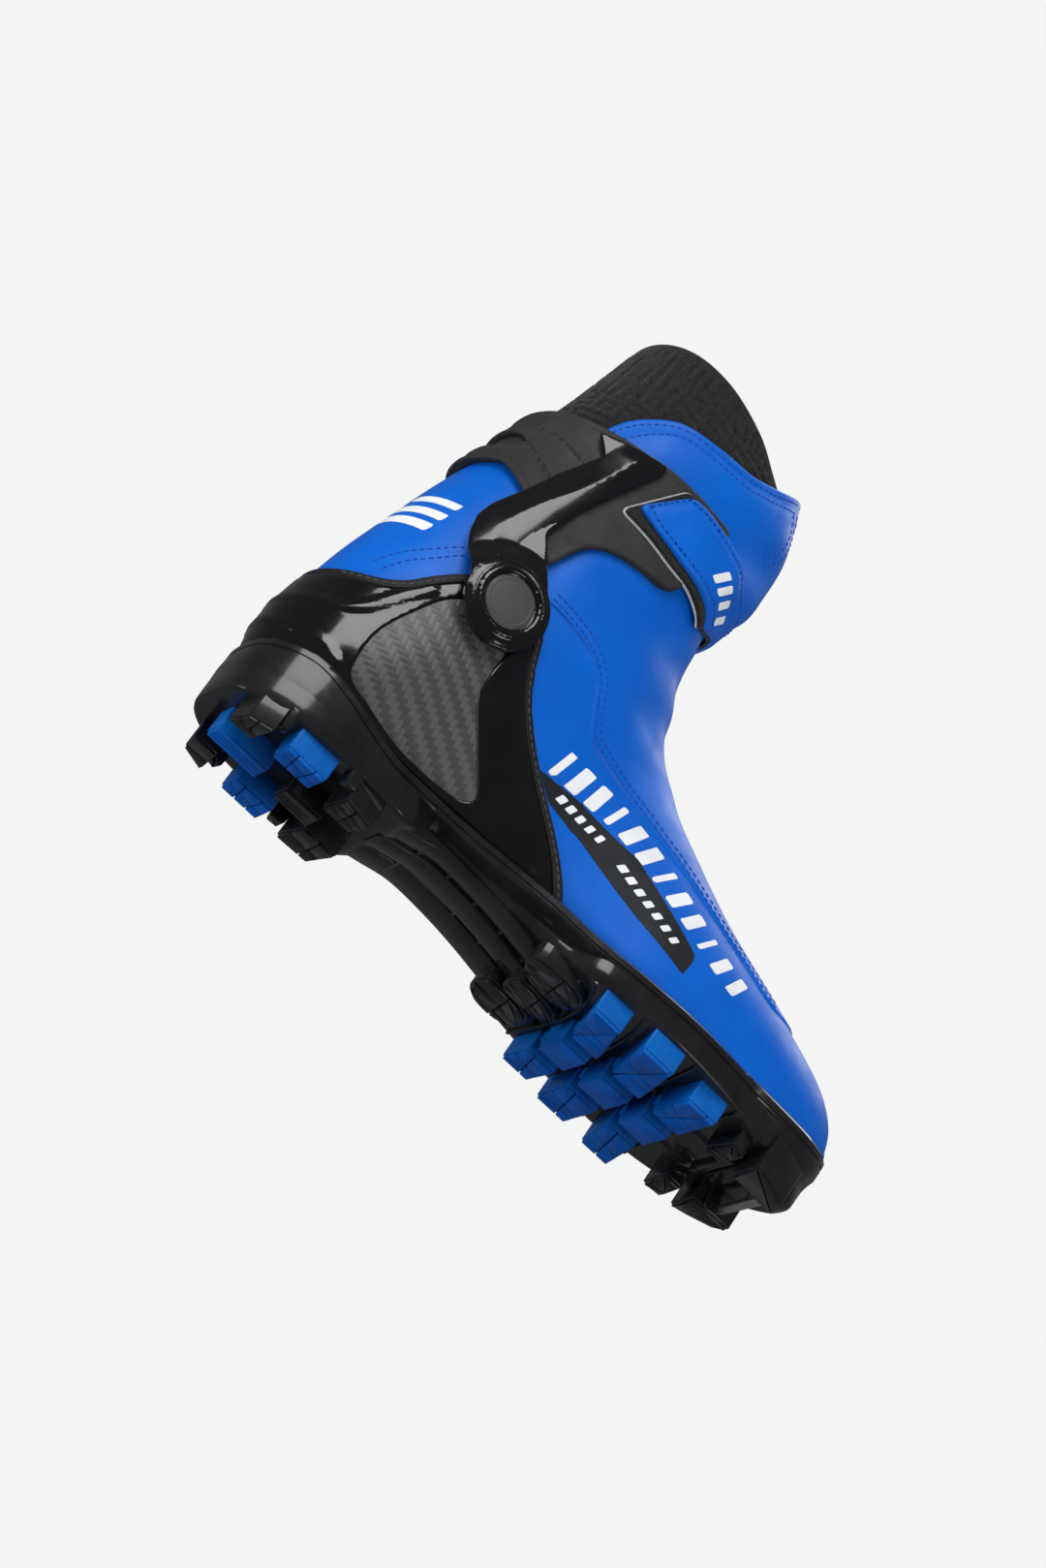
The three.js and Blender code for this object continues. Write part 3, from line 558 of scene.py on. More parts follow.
def run(tree, line, sides):
    """Runs of (points, normals) of a side-view line laid on a piece; a run ends where the piece does."""
    flat = curve(line, step=0.5)
    for side in sides:
        found = []
        for p, n in [on(tree, x, z, side) for x, z in flat] + [(None, None)]:
            if p is None or (found and (p - found[-1][0]).length > 6):
                if len(found) > 4:
                    yield tuple(np.array(column) for column in zip(*found))
                found = []
            if p is not None:
                found.append((p, n))


def resample(points, normals, spacing):
    """Places along a run this far apart, with the normal and the direction of the run at each."""
    length = np.concatenate([[0], np.cumsum(np.linalg.norm(np.diff(points, axis=0), axis=1))])
    s = np.arange(spacing / 2, length[-1], spacing)

    def sample(values, where):
        return np.stack([np.interp(where, length, values[:, k]) for k in range(3)], 1)

    at, up = sample(points, s), sample(normals, s)
    along = sample(points, s + 0.4) - sample(points, s - 0.4)
    along /= np.linalg.norm(along, axis=1)[:, None] + 1e-9
    up /= np.linalg.norm(up, axis=1)[:, None] + 1e-9
    return at, up, along


def stitches(name, tree, lines, sides, material, spacing=3.0, length=2.3, radius=0.3):
    """Rows of stitches along side-view lines, each a small capsule that dips at its ends."""
    ring = np.linspace(0, 2 * math.pi, 6, endpoint=False)
    rows = [(-0.5, 0.3, -0.5), (-0.4, 0.85, -0.1), (-0.15, 1, 0.25), (0.15, 1, 0.25), (0.4, 0.85, -0.1),
            (0.5, 0.3, -0.5)]
    local = np.array([(t * length, math.cos(a) * r * radius, math.sin(a) * r * radius + h * radius)
                      for t, r, h in rows for a in ring])
    quads = rings(6, 6) + caps(6, 6)
    points, faces = [], []
    for line in lines:
        for p, n in run(tree, line, sides):
            for at, up, along in zip(*resample(p, n, spacing)):
                k = len(points) * len(local)
                points.append(at + local @ np.array([along, np.cross(up, along), up]))
                faces += [tuple(k + i for i in q) for q in quads]
    return make(name, np.vstack(points), faces, material, 60)


def tube(points, radius, sides=8):
    """A tube round a path, as points and faces."""
    p = np.asarray(points, float)
    t = np.gradient(p, axis=0)
    t /= np.linalg.norm(t, axis=1)[:, None] + 1e-9
    side_way = np.cross(t, (0.31, 0.12, 0.94))
    side_way /= np.linalg.norm(side_way, axis=1)[:, None]
    up = np.cross(side_way, t)
    ring = np.linspace(0, 2 * math.pi, sides, endpoint=False)
    rows = p[:, None] + radius * (np.cos(ring)[None, :, None] * side_way[:, None]
                                  + np.sin(ring)[None, :, None] * up[:, None])
    return rows.reshape(-1, 3), rings(len(p), sides) + caps(len(p), sides)


def slab(outline, low, high, edge=0.5, both=False, draft=0.0, axis=2):
    """A prism with its edge at low (and at high, with both) taken off, as points and faces. axis 2 draws the
    outline in plan, axis 1 in the side view."""
    p = np.asarray(outline, float)
    area = 0.5 * (p[:, 0] * np.roll(p[:, 1], -1) - p[:, 1] * np.roll(p[:, 0], -1)).sum()
    if area < 0:
        p = p[::-1]
    t = np.roll(p, -1, 0) - np.roll(p, 1, 0)
    t /= np.linalg.norm(t, axis=1)[:, None] + 1e-9
    inward = np.stack([-t[:, 1], t[:, 0]], 1)
    levels = [(low, edge + draft), (low + 0.3 * edge, 0.3 * edge + draft), (low + edge, draft)]
    levels += [(high - edge, 0), (high - 0.3 * edge, 0.3 * edge), (high, edge)] if both else [(high, 0)]
    rows = []
    for h, d in levels:
        q = p + inward * d
        rows.append(np.insert(q, 2, h, 1) if axis == 2 else np.stack([q[:, 0], np.full(len(q), h), q[:, 1]], 1))
    faces = rings(len(rows), len(p)) + caps(len(rows), len(p))
    if axis == 1:
        faces = [f[::-1] for f in faces]
    return np.vstack(rows), faces


def lathe(profile, middle, sign, sides=72):
    """A round piece on an axis along y, from (radius, distance from the middle plane) pairs."""
    ring = np.linspace(0, 2 * math.pi, sides, endpoint=False)
    rows = [np.stack([middle[0] + r * np.cos(ring), np.full(sides, sign * h), middle[1] + r * np.sin(ring)], 1)
            for r, h in profile]
    faces = rings(len(profile), sides) + caps(len(profile), sides)
    if sign < 0:
        faces = [f[::-1] for f in faces]
    return np.vstack(rows), faces


def gather(solids):
    """Several (points, faces) as one."""
    points, faces, start = [], [], 0
    for p, f in solids:
        points.append(p)
        faces += [tuple(start + i for i in g) for g in f]
        start += len(p)
    return np.vstack(points), faces


# ---------------------------------------------------------------- the lines the pieces are cut to
SEAM = [(71, 110), (83, 109), (95, 106.5), (103, 102), (109, 92), (115, 84), (126, 81), (146, 77.5), (168, 72),
        (188, 66), (207, 61), (231, 54), (258, 62)]
COLLAR_TOP = [(-20, 172), (36, 172), (49, 181), (59, 198), (72, 208), (90, 211), (106, 213), (116, 218),
              (124, 223.5), (131, 230), (137, 236), (330, 238)]
SOCK_TOP = [(-20, 243), (44, 243), (58, 245), (78, 240), (100, 231), (122, 220), (330, 206)]
COUNTER_EDGE = [(-20, 72), (8, 74), (19, 76), (26, 80), (33, 88), (40, 95), (49, 101), (60, 103.5), (71, 102),
                (76, 97), (80, 88), (86, 77.5), (93, 69.5), (104, 60), (116, 51), (125, 44), (134, 35.5),
                (142, 26), (147, 16)]
WOVEN = [(43, 85), (34, 70), (29, 57), (28.5, 46), (31, 37), (42, 33.5), (65, 30), (90, 31.5), (94, 34),
         (83, 47), (72, 60), (70, 64), (69, 72), (68, 84), (57, 91)]
SHELL = [(10, 151), (24, 151), (31, 152), (36, 147), (42, 140), (48, 131), (57, 123), (62, 119), (64, 123),
         (67, 130), (70, 136), (76, 141), (84, 144), (93, 146), (101, 147), (107, 150), (109, 158), (112, 186),
         (93, 187), (79, 187), (70, 186), (51, 186), (40, 187), (10, 186)]
SHELL_SLOT = [(-20, 162), (31, 162), (35, 166), (32, 171), (-20, 171)]
ARM_LINE = [(42, 86), (39, 94), (33, 110), (32, 119), (34, 127), (40, 139), (47, 155), (56, 172), (50, 181),
            (60, 182.5), (77, 185), (77, 182), (68, 163), (61, 148), (56, 132), (55, 128), (61, 117), (74, 95)]
STRAP_LOW = [(72, 158), (85, 157), (99, 155), (110, 155), (120, 153.5), (127, 151), (138, 146), (165, 140)]
STRAP_TOP = [(89, 184), (99, 182.5), (112, 181), (123, 179), (132, 176.5), (145, 176), (165, 175)]
FLAP_LOW = [(75.5, 163), (86, 160.5), (100, 158.5), (114, 158), (126, 156.5), (133, 154), (141, 150), (165, 145)]
SOLE_PLAN = [(0, 0), (3, -17), (16, -28.5), (36, -33), (64, -32.5), (92, -31.5), (120, -33.5), (150, -40),
             (178, -46.5), (203, -48.5), (228, -45.5), (250, -38.5), (271, -28), (286, -14), (292, 0), (287, 14),
             (274, 28), (256, 38), (236, 43), (212, 43), (185, 38.5), (155, 32), (120, 28.5), (92, 28.5),
             (64, 31), (36, 32.5), (16, 28), (3, 17)]
SOLE_RIM = [(-6, 33), (6, 35), (20, 35.5), (34, 32.5), (48, 28.5), (64, 25.5), (90, 26), (130, 26.5), (165, 23),
            (200, 22.5), (235, 23.5), (258, 26), (275, 30), (288, 35), (300, 39)]
FLOOR = [(-20, 19.5), (14, 19), (52, 18), (90, 20.5), (122, 20), (153, 16), (180, 12.5), (205, 12), (228, 13),
         (250, 14), (268, 15), (281, 17), (300, 23)]
BLEND_START, BLEND_END = (0, 0, 0.104), (0, 0, 0.142)


def wear(piece, body, slot, *nodes):
    """What every rigid piece is told: its body and the CAD nodes it stands for. slot, its finish, is not used."""
    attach(piece, body)
    if nodes:
        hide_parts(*nodes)
    return piece


def bend(piece, slot, *nodes):
    """For a soft piece that crosses the ankle hinge: its transform is baked into its mesh and the CAD nodes it stands
    for are hidden. slot is not used.
    """
    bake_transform(piece)
    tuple(BLEND_START)
    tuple(BLEND_END)
    if nodes:
        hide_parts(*nodes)
    return piece


# ---------------------------------------------------------------- the blue upper
in_collar = below([COLLAR_TOP[0], *curve(COLLAR_TOP[1:-1]), COLLAR_TOP[-1]])
in_wrap = inside([*curve(SEAM), (330, 62), (330, -60), (-60, -60), (-60, 112)])


def upper_relief(x, y, z, d, seam):
    step = 0.9 * smooth(-seam, -0.35, 0.35) * smooth(x, 64, 76)  # the lace cover lies over the wrap
    pad = 1.0 * smooth(d, 2.5, 9) * (1 - smooth(d, 12, 30)) * smooth(z, 150, 185)
    fold = np.sin(0.16 * z + 0.05 * x + 0.03 * y) * np.sin(0.11 * x - 0.07 * z + 1.0)
    front = smooth(x, 95, 135) * smooth(z, 80, 110) * (1 - smooth(z, 215, 235))
    strap = np.exp(-((z - 167 + 0.25 * np.maximum(x - 110, 0)) / 9) ** 2) * smooth(x, 105, 130)
    crease = 0.45 * np.sin(0.42 * z + 0.02 * x * np.sin(0.02 * y)) * smooth(x, 128, 150) * smooth(z, 92, 120)
    crease = crease * (1 - smooth(z, 150, 170))
    soft = 0.25 * np.sin(0.07 * x + 0.09 * z) * np.sin(0.05 * z - 0.04 * x + 2)
    return step + pad + (0.9 * fold + crease) * front - 1.4 * strap + soft


upper = panel("upper", BLUE, (-2, 0), lambda x, y, z: in_collar(x, z), relief=upper_relief, radius=1.0,
              cuts=[(in_wrap, (-0.35, 0.35))])
bend(upper, "blue_leather", "vamp", "quarter_outer", "quarter_inner", "lace_cover", "ankle_flex", "collar")

# Seams of the upper, in thread of its own colour.
seam_rows = [moved(curve(SEAM[:-1]), away) for away in (1.7, 4.4)]
collar_rows = [[(44, 171), (52, 182.5), (62, 198), (74, 206), (91, 208.3), (106, 210), (116, 214.5), (124, 220),
                (132, 227)],
               [(48, 170), (56, 182), (65.5, 195), (76, 202.7), (92, 205), (107, 206.8), (118, 212), (126, 217.5),
                (133, 223)]]
tab_rows = [[(135, 226), (139, 216), (139.5, 206), (134, 194)], [(132, 222), (136, 214), (136.5, 206), (131, 196)]]
rear_rows = [[(18, 81), (23, 89), (30, 96), (39, 104.5), (52, 109.5), (64, 110)],
             [(14.5, 83), (20, 91.5), (27.5, 99), (37.5, 107.5), (51, 112.7), (64, 113)]]
seams = stitches("upper_stitching", "upper", seam_rows + collar_rows + tab_rows + rear_rows, (OUTER, INNER),
                 BLUE_THREAD, spacing=2.9, length=2.2, radius=0.32)
bend(seams, "blue_leather")


def bar(c, u, w, h, lean):
    """A slanted bar's outline round c, along the unit vector u: half its width w and half its height h."""
    n = np.array([-u[1], u[0]])
    return [c - u * (w + lean * h) - n * h, c + u * (w - lean * h) - n * h, c + u * (w + lean * h) + n * h,
            c - u * (w - lean * h) + n * h]


def bar_row(start, end, count, height, lean, taper=0.0):
    """Generic slanted bars along a line, each an outline in the side view."""
    a, b = np.array(start, float), np.array(end, float)
    u = (b - a) / np.linalg.norm(b - a)
    pitch = np.linalg.norm(b - a) / count
    for k in range(count):
        yield bar(a + u * pitch * (k + 0.5), u, pitch * (0.32 - 0.1 * k / count), height / 2 * (1 - taper * k / count),
                  lean)


def printed(name, material, outlines, side, height=0.16, on_top=0.0, lift=None, radius=0.12, places=(2, 17),
            relief=None, based=-1.0, step=0.8):
    """A thin film of colour on the upper, or on the layer based there, in several separate shapes."""
    fields = [inside(fillet(o, 0.3, 3)) for o in outlines]

    def shown(x, y, z):
        return np.max([f(x, z) for f in fields], axis=0)

    def follow(x, y, z, d):
        return upper_relief(x, y, z, in_collar(x, z), in_wrap(x, z))

    return panel(name, material, (-0.3 + on_top, height + on_top), shown, side, step=step, radius=radius,
                 places=places, relief=relief or follow, lift=lift, rounds=(1.0,), based=based)


STRIPE = [(106, 60), (126, 62), (156, 60), (191, 44), (192, 41), (191, 34), (167, 40), (135, 50), (116, 53)]
BAND = curve([(108, 67.5), (124, 68.2), (141, 68.5), (159, 64.5), (182, 55.8), (206, 47.8), (224, 44.2)])
BAND_LENGTH = np.concatenate([[0], np.cumsum(np.linalg.norm(np.diff(BAND, axis=0), axis=1))])
for side, word in SIDES:
    stripe = printed(f"side_stripe_{word}", BLACK_PRINT, [STRIPE], side, 0.14, places=(3, 11))
    wear(stripe, "boot", "blue_leather")
    marks = []
    for k in range(12):
        c, ahead = (np.array([np.interp(4 + 9.4 * k + d, BAND_LENGTH, BAND[:, i]) for i in (0, 1)]) for d in (0, 1))
        u = (ahead - c) / np.linalg.norm(ahead - c)
        marks.append(bar(c, u, (2.9 if k % 3 else 1.6) - 0.06 * k, 6.2 - 0.14 * k, 0.3))
    bars = printed(f"side_bars_{word}", WHITE, marks, side, 0.2, places=(2, 11))
    wear(bars, "boot", "blue_leather")
    dashes = printed(f"stripe_dashes_{word}", WHITE,
                     [*bar_row((117, 57.6), (142, 56.0), 5, 3.6, 0.4), *bar_row((150, 53.6), (184, 41.5), 7, 3.4, 0.4)],
                     side, 0.26, places=(3, 11), step=0.45)
    wear(dashes, "boot", "blue_leather")
    heel_mark = printed(f"heel_bars_{word}", WHITE, [*bar_row((16, 106), (25, 127), 3, 13, -0.2, 0.3)], side, 0.2,
                        places=(11, 15))
    bend(heel_mark, "blue_leather")

# ---------------------------------------------------------------- the knitted lining and sock
in_sock = below(curve(SOCK_TOP, step=3))


def maze(s, t, pitch=4.4, tile=13.2):
    """A meander of nested squares and stripes, from 0 in its grooves to 1 on its ridges."""
    i, j = np.floor(s / tile), np.floor(t / tile)
    a, b = s - (i + 0.5) * tile, t - (j + 0.5) * tile
    kind = np.mod(i + 2 * j, 3)
    nested = np.maximum(np.abs(a), np.abs(b))
    value = np.where(kind == 0, nested, np.where(kind == 1, np.maximum(a, b), np.maximum(-a, b)))
    wave = 0.5 + 0.5 * np.cos(2 * math.pi * value / pitch)
    return smooth(wave, 0.3, 0.62)


def sock_relief(x, y, z, d):
    top = in_collar(x, z)
    proud = 3.0 * smooth_down(top, 14, 2)
    round_leg = 44 * np.arctan2(y, x - 95)
    ridges = 0.8 * maze(round_leg + 100, z + 0.3 * x) * smooth_down(top, 3, -2) * smooth(d, 2, 5)
    hem = 0.5 * smooth_down(d, 4, 2.5)
    return proud + ridges + hem


sock = panel("knitted_sock", KNIT, (-7.4, -5.2), lambda x, y, z: np.minimum(in_sock(x, z), z - 150),
             places=(10, TOP), step=0.75, relief=sock_relief, radius=1.0, sharp=60)
wear(sock, "cuff", "knit", "sock_collar")
low_lining = panel("lining", KNIT, (-7.4, -5.2), lambda x, y, z: 151.5 - z, step=2.0, radius=0.5)
bend(low_lining, "knit", "liner_foot", "liner_ankle")

throat = inside(fillet([(128, 150), (128, 98), (152, 92), (205, 72), (230, 90)], 6))
tongue = panel("tongue_pad", FOAM, (-8.4, -5.0), lambda x, y, z: np.minimum(throat(x, z), 16.4 - np.abs(y)),
               places=(3, 11), radius=1.4)
wear(tongue, "boot", "foam", "tongue")

# ---------------------------------------------------------------- heel counter, edge tape and woven panel
in_counter = inside([COUNTER_EDGE[0], *curve(COUNTER_EDGE[1:], step=1.5), (150, -20), (-60, -20), (-60, 72)])
woven = inside(curve(WOVEN, closed=True))
ridge_up = distance(curve([(-4, 58), (8, 57), (20, 62), (28, 73), (35, 83)]))
ridge_low = distance(curve([(-4, 47), (6, 44), (18, 42), (24, 38)]))
front_ridge = distance(curve([(78, 82), (84, 68), (97, 55), (112, 42), (124, 30)]))


def around_pivot(x, z, r):
    """Distance outside a circle of radius r round the hinge."""
    return np.hypot(x - PIVOT[0], z - PIVOT[1]) - r


def counter_relief(x, y, z, d, a, b, c, w):
    raised = 0.9 * smooth_down(a, 3.5, 0.5) + 0.7 * smooth_down(b, 3.0, 0.5)
    crown = 0.8 * smooth_down(c, 5, 0)
    return raised + crown + 0.25 * smooth(w, 0, 2.5)


counter = panel("heel_counter_frame", GLOSS, (0.3, 2.3),
                lambda x, y, z: np.minimum(in_counter(x, z) - 3.4, -woven(x, z)), places=(7, 15), step=1.2,
                radius=0.8, relief=counter_relief,
                cuts=[(ridge_up, (0.6, 3.4)), (ridge_low, (0.6, 2.9)), (front_ridge, (1.0, 4.8)),
                      (lambda x, z: -woven(x, z), (2.5,))])
wear(counter, "boot", "gloss_black", "heel_counter")
tape = panel("counter_edge_tape", TAPE, (0.1, 2.2),
             lambda x, y, z: np.minimum(in_counter(x, z) + 0.2, 3.3 - in_counter(x, z)), places=(7, 15),
             step=1.1, radius=0.7)
wear(tape, "boot", "matte_black", "counter_binding")
tape_thread = stitches("counter_stitching", "counter_edge_tape", [moved(curve(COUNTER_EDGE[1:-1], step=1), -1.6)],
                       (OUTER, INNER), BLACK_THREAD, spacing=3.2, length=2.3, radius=0.28)
wear(tape_thread, "boot", "matte_black")
for side, word in SIDES:
    weave = panel(f"woven_panel_{word}", TWILL, (0.2, 1.5), lambda x, y, z: woven(x, z) + 0.6, side,
                  places=(7, 14), step=1.6, radius=0.4)
    wear(weave, "boot", "woven_panel", f"side_panel_{word}")

# ---------------------------------------------------------------- cuff
in_shell, in_slot, in_arm = (inside(fillet(*pair)) for pair in ((SHELL, 2.5), (SHELL_SLOT, 2.0), (ARM_LINE, 2.2)))
parting_low = distance(curve([(30, 171), (36, 164), (40, 159), (44, 155), (47, 150)]))
parting_top = distance(curve([(33, 183), (36, 175), (41, 173), (47, 170), (53, 166)]))


def shell_relief(x, y, z, d, a, b):
    groove = 0.7 * np.maximum(smooth_down(a, 0.9, 0.35), smooth_down(b, 0.9, 0.35))
    lip = 0.55 * smooth_down(d, 3.4, 2.6)
    band = 0.5 * np.sin(np.clip((z - 151) / 11, 0, 1) * math.pi) * smooth_down(x, 34, 24)
    band += 0.6 * np.sin(np.clip((z - 171) / 15, 0, 1) * math.pi) * smooth_down(x, 34, 24)
    return lip + band - groove


def shell_field(x, y, z):
    return np.minimum(in_shell(x, z), -in_slot(x, z))


shell = panel("cuff_shell_cover", MATTE, (0.5, 3.9), shell_field, places=(10, 18), step=1.1, radius=1.5,
              relief=shell_relief, cuts=[(parting_low, (0.35, 0.9)), (parting_top, (0.35, 0.9))],
              rounds=(0.08, 0.3, 0.65, 1.0, 1.75, 2.25))
wear(shell, "cuff", "matte_black", "cuff_shell")
bridge = panel("cuff_shell_web", MATTE, (0.4, 1.6), lambda x, y, z: np.minimum(in_slot(x, z) + 1.5, 40 - x),
               places=(11, 17), step=1.6, radius=0.4)
wear(bridge, "cuff", "matte_black")

crest = distance(curve([(57, 93), (44, 106), (41, 118), (47, 135), (56, 152), (63, 168), (68, 182)]))


def boss_ring(r):
    """The raised ring round the hinge."""
    return 1.3 * smooth(r, 10.6, 11.3) * smooth_down(r, 14.2, 12.9)


def arm_relief(x, y, z, d, c, r):
    swell = 1.5 * (1 - np.clip(c / 8, 0, 1)) * smooth(r, 14, 24)
    return swell * smooth_down(z, 186, 176) + boss_ring(r)


def flat_boss(points, outer_face):
    """Near the hinge the arm is flat and square to its axis."""
    r = around_pivot(points[:, 0], points[:, 2], 0)
    flat = 49.6 + boss_ring(r) - 0.8 * smooth(r, 14.5, 17.2) if outer_face else 45.0
    share = smooth_down(r, 25, 15)
    out = points.copy()
    out[:, 1] = np.sign(points[:, 1]) * (share * flat + (1 - share) * np.abs(points[:, 1]))
    return out


for side, word in SIDES:
    arm = panel(f"cuff_arm_cover_{word}", GLOSS, (4.3, 7.5),
                lambda x, y, z: np.maximum(in_arm(x, z), -around_pivot(x, z, 17.3)), side, places=(9, 17),
                step=0.65, radius=1.2, relief=arm_relief, shape=flat_boss, sharp=60,
                cuts=[(crest, (0.25, 2.0, 8.0)), (lambda x, z: around_pivot(x, z, 0), (10.6, 11.3, 12.9, 14.2))],
                rounds=(0.08, 0.3, 0.65, 1.0))
    wear(arm, "cuff", "gloss_black", f"cuff_arm_{word}")
    dome = [(0.5, 47), (10.1, 47), (10.3, 49.4), (10.1, 50.0), (9.5, 50.4), (8.6, 50.55), (8.2, 50.4), (7.7, 50.55),
            (5, 50.95), (2.5, 51.1), (0.3, 51.15)]
    cap = make(f"pivot_cover_{word}", *lathe(dome, PIVOT, side), CAP, 30)
    wear(cap, "cuff", "matte_black", f"pivot_cap_{word}")

# ---------------------------------------------------------------- ankle strap
in_strap = inside(fillet([*STRAP_LOW, *STRAP_TOP[::-1]], 3))
in_flap = inside(fillet([*FLAP_LOW, (165, 175), *STRAP_TOP[::-1][1:-1], (91, 182)], 3.2))


def strap_lift(x, y, z):
    return -3.4 * smooth(x, 121, 136)


def strap_end(x, y):
    """Positive where the strap is: on the inner side it ends in front of its ring."""
    return np.where(y > 0, x - 106, 200)


base = panel("strap_pile", PILE, (4.3, 6.0), lambda x, y, z: np.minimum(in_strap(x, z), strap_end(x, y)),
             places=(12, 17), step=1.1, radius=0.6, lift=strap_lift,
             relief=lambda x, y, z, d: 0.25 * np.sin(2.1 * x) * np.sin(2.3 * z) * smooth(d, 0.5, 1.5))
wear(base, "cuff", "hook_pile", "strap_base")
trim = panel("strap_edge", PALE, (3.9, 4.6), lambda x, y, z: np.minimum(np.minimum(in_strap(x, z) + 0.7,
             2.0 - in_strap(x, z)), strap_end(x, y) + 0.7), places=(12, 17), step=1.1, radius=0.3, lift=strap_lift)
wear(trim, "cuff", "hook_pile")


def flap_relief(x, y, z, d):
    return 0.5 * smooth(d, 2.2, 4.5) + 0.25 * np.sin(0.13 * x) * np.sin(0.2 * z)


flap = panel("strap_cover", BLUE, (6.1, 8.2), lambda x, y, z: np.minimum(in_flap(x, z), strap_end(x, y) - 2.6),
             places=(12, 17), step=1.1, radius=0.8, lift=strap_lift, relief=flap_relief)
wear(flap, "strap", "blue_leather", "strap_flap")
border = [moved(curve([(76.5, 164), *FLAP_LOW[1:-1]]), 2.3),
          [(79, 165.5), (84, 172), (90, 179.6)],
          moved(curve([(91, 182), *STRAP_TOP[1:-1]]), -2.3)]
flap_thread = stitches("strap_stitching", "strap_cover", border, (OUTER, INNER), BLUE_THREAD, 2.7, 2.0, 0.28)
wear(flap_thread, "strap", "blue_leather")
marks = printed("strap_bars", WHITE, [*bar_row((115, 168), (134.5, 162), 4, 8.5, 0.3, 0.1)], OUTER, 0.2, 8.2,
                lift=strap_lift, places=(12, 17),
                relief=lambda x, y, z, d: flap_relief(x, y, z, in_flap(x, z)), based=7.15)
wear(marks, "strap", "blue_leather")
ring = panel("strap_ring_cover", GLOSS, (4.3, 7.6), lambda x, y, z: np.minimum(
    inside(fillet(oblong(96.5, 153, 105.5, 187), 2))(x, z),
    -inside(fillet(oblong(99.6, 157, 102.6, 183), 1))(x, z)), INNER, places=(12, 17),
    step=0.9, radius=1.2)
wear(ring, "cuff", "gloss_black", "strap_ring")
# The end of the strap that goes round the ring stays on the cuff.
loop = panel("strap_loop", BLUE, (7.65, 8.25), lambda x, y, z: inside(fillet(
    oblong(103, 159.5, 108.3, 180.5), 1.2))(x, z), INNER, places=(12, 17), step=0.9,
    radius=0.4)
wear(loop, "cuff", "blue_leather")

# ---------------------------------------------------------------- the sole
UNDERSIDE = [(-6, 10), (80, 10), (90, 16), (105, 17.5), (135, 15.5), (152, 12.5), (165, 10), (255, 10), (262, 13),
             (291, 14), (300, 20)]
rim_of = curve(SOLE_RIM)
plan = curve(SOLE_PLAN, closed=True, step=1.0)
outer_half, inner_half = plan[plan[:, 1] <= 0], plan[plan[:, 1] >= 0][::-1]
SECTIONS = 240
plan_x = plan[:, 0].min() + np.ptp(plan[:, 0]) * 0.5 * (1 - np.cos(np.linspace(0, math.pi, SECTIONS + 1)))


def half_width(half, x):
    order = np.argsort(half[:, 0])
    y = np.interp(x, half[order, 0], half[order, 1])
    y[0] = y[-1] = 0
    return y


outer_y, inner_y = half_width(outer_half, plan_x), half_width(inner_half, plan_x)
loop_x = np.concatenate([plan_x, plan_x[-2:0:-1]])
loop_y = np.concatenate([outer_y, inner_y[-2:0:-1]])
tangent = np.stack([np.roll(loop_x, -1) - np.roll(loop_x, 1), np.roll(loop_y, -1) - np.roll(loop_y, 1)], 1)
tangent /= np.linalg.norm(tangent, axis=1)[:, None]
loop_out = np.stack([tangent[:, 1], -tangent[:, 0]], 1)

body_u, body_v = np.meshgrid(np.linspace(TOE_CAP, 15, 161), np.linspace(-math.pi, math.pi, 181), indexing="ij")
skin = surface(body_u.ravel(), body_v.ravel(), np.zeros(body_u.size))
proud = 2.4 * smooth_down(skin[:, 0], 150, 140)
skin = surface(body_u.ravel(), body_v.ravel(), proud)
skin_tree = BVHTree.FromPolygons(skin.tolist(), np.stack(squares(160, 180), 1).tolist())


def reach_of_body(heights, none):
    """How far outside the sole's outline the upper stands, at each point of the outline and that height."""
    found, away = [], 60
    for x, y, n, z in zip(loop_x, loop_y, loop_out, heights):
        start = Vector((x + away * n[0], y + away * n[1], z))
        hit = skin_tree.ray_cast(start, Vector((-n[0], -n[1], 0)), away + 50)
        found.append(away - hit[3] if hit[0] else none)
    return np.array(found)


def around(values):
    """Values along the outline, evened out."""
    for _ in range(3):
        values = (np.roll(values, 1) + 2 * values + np.roll(values, -1)) / 4
    return values


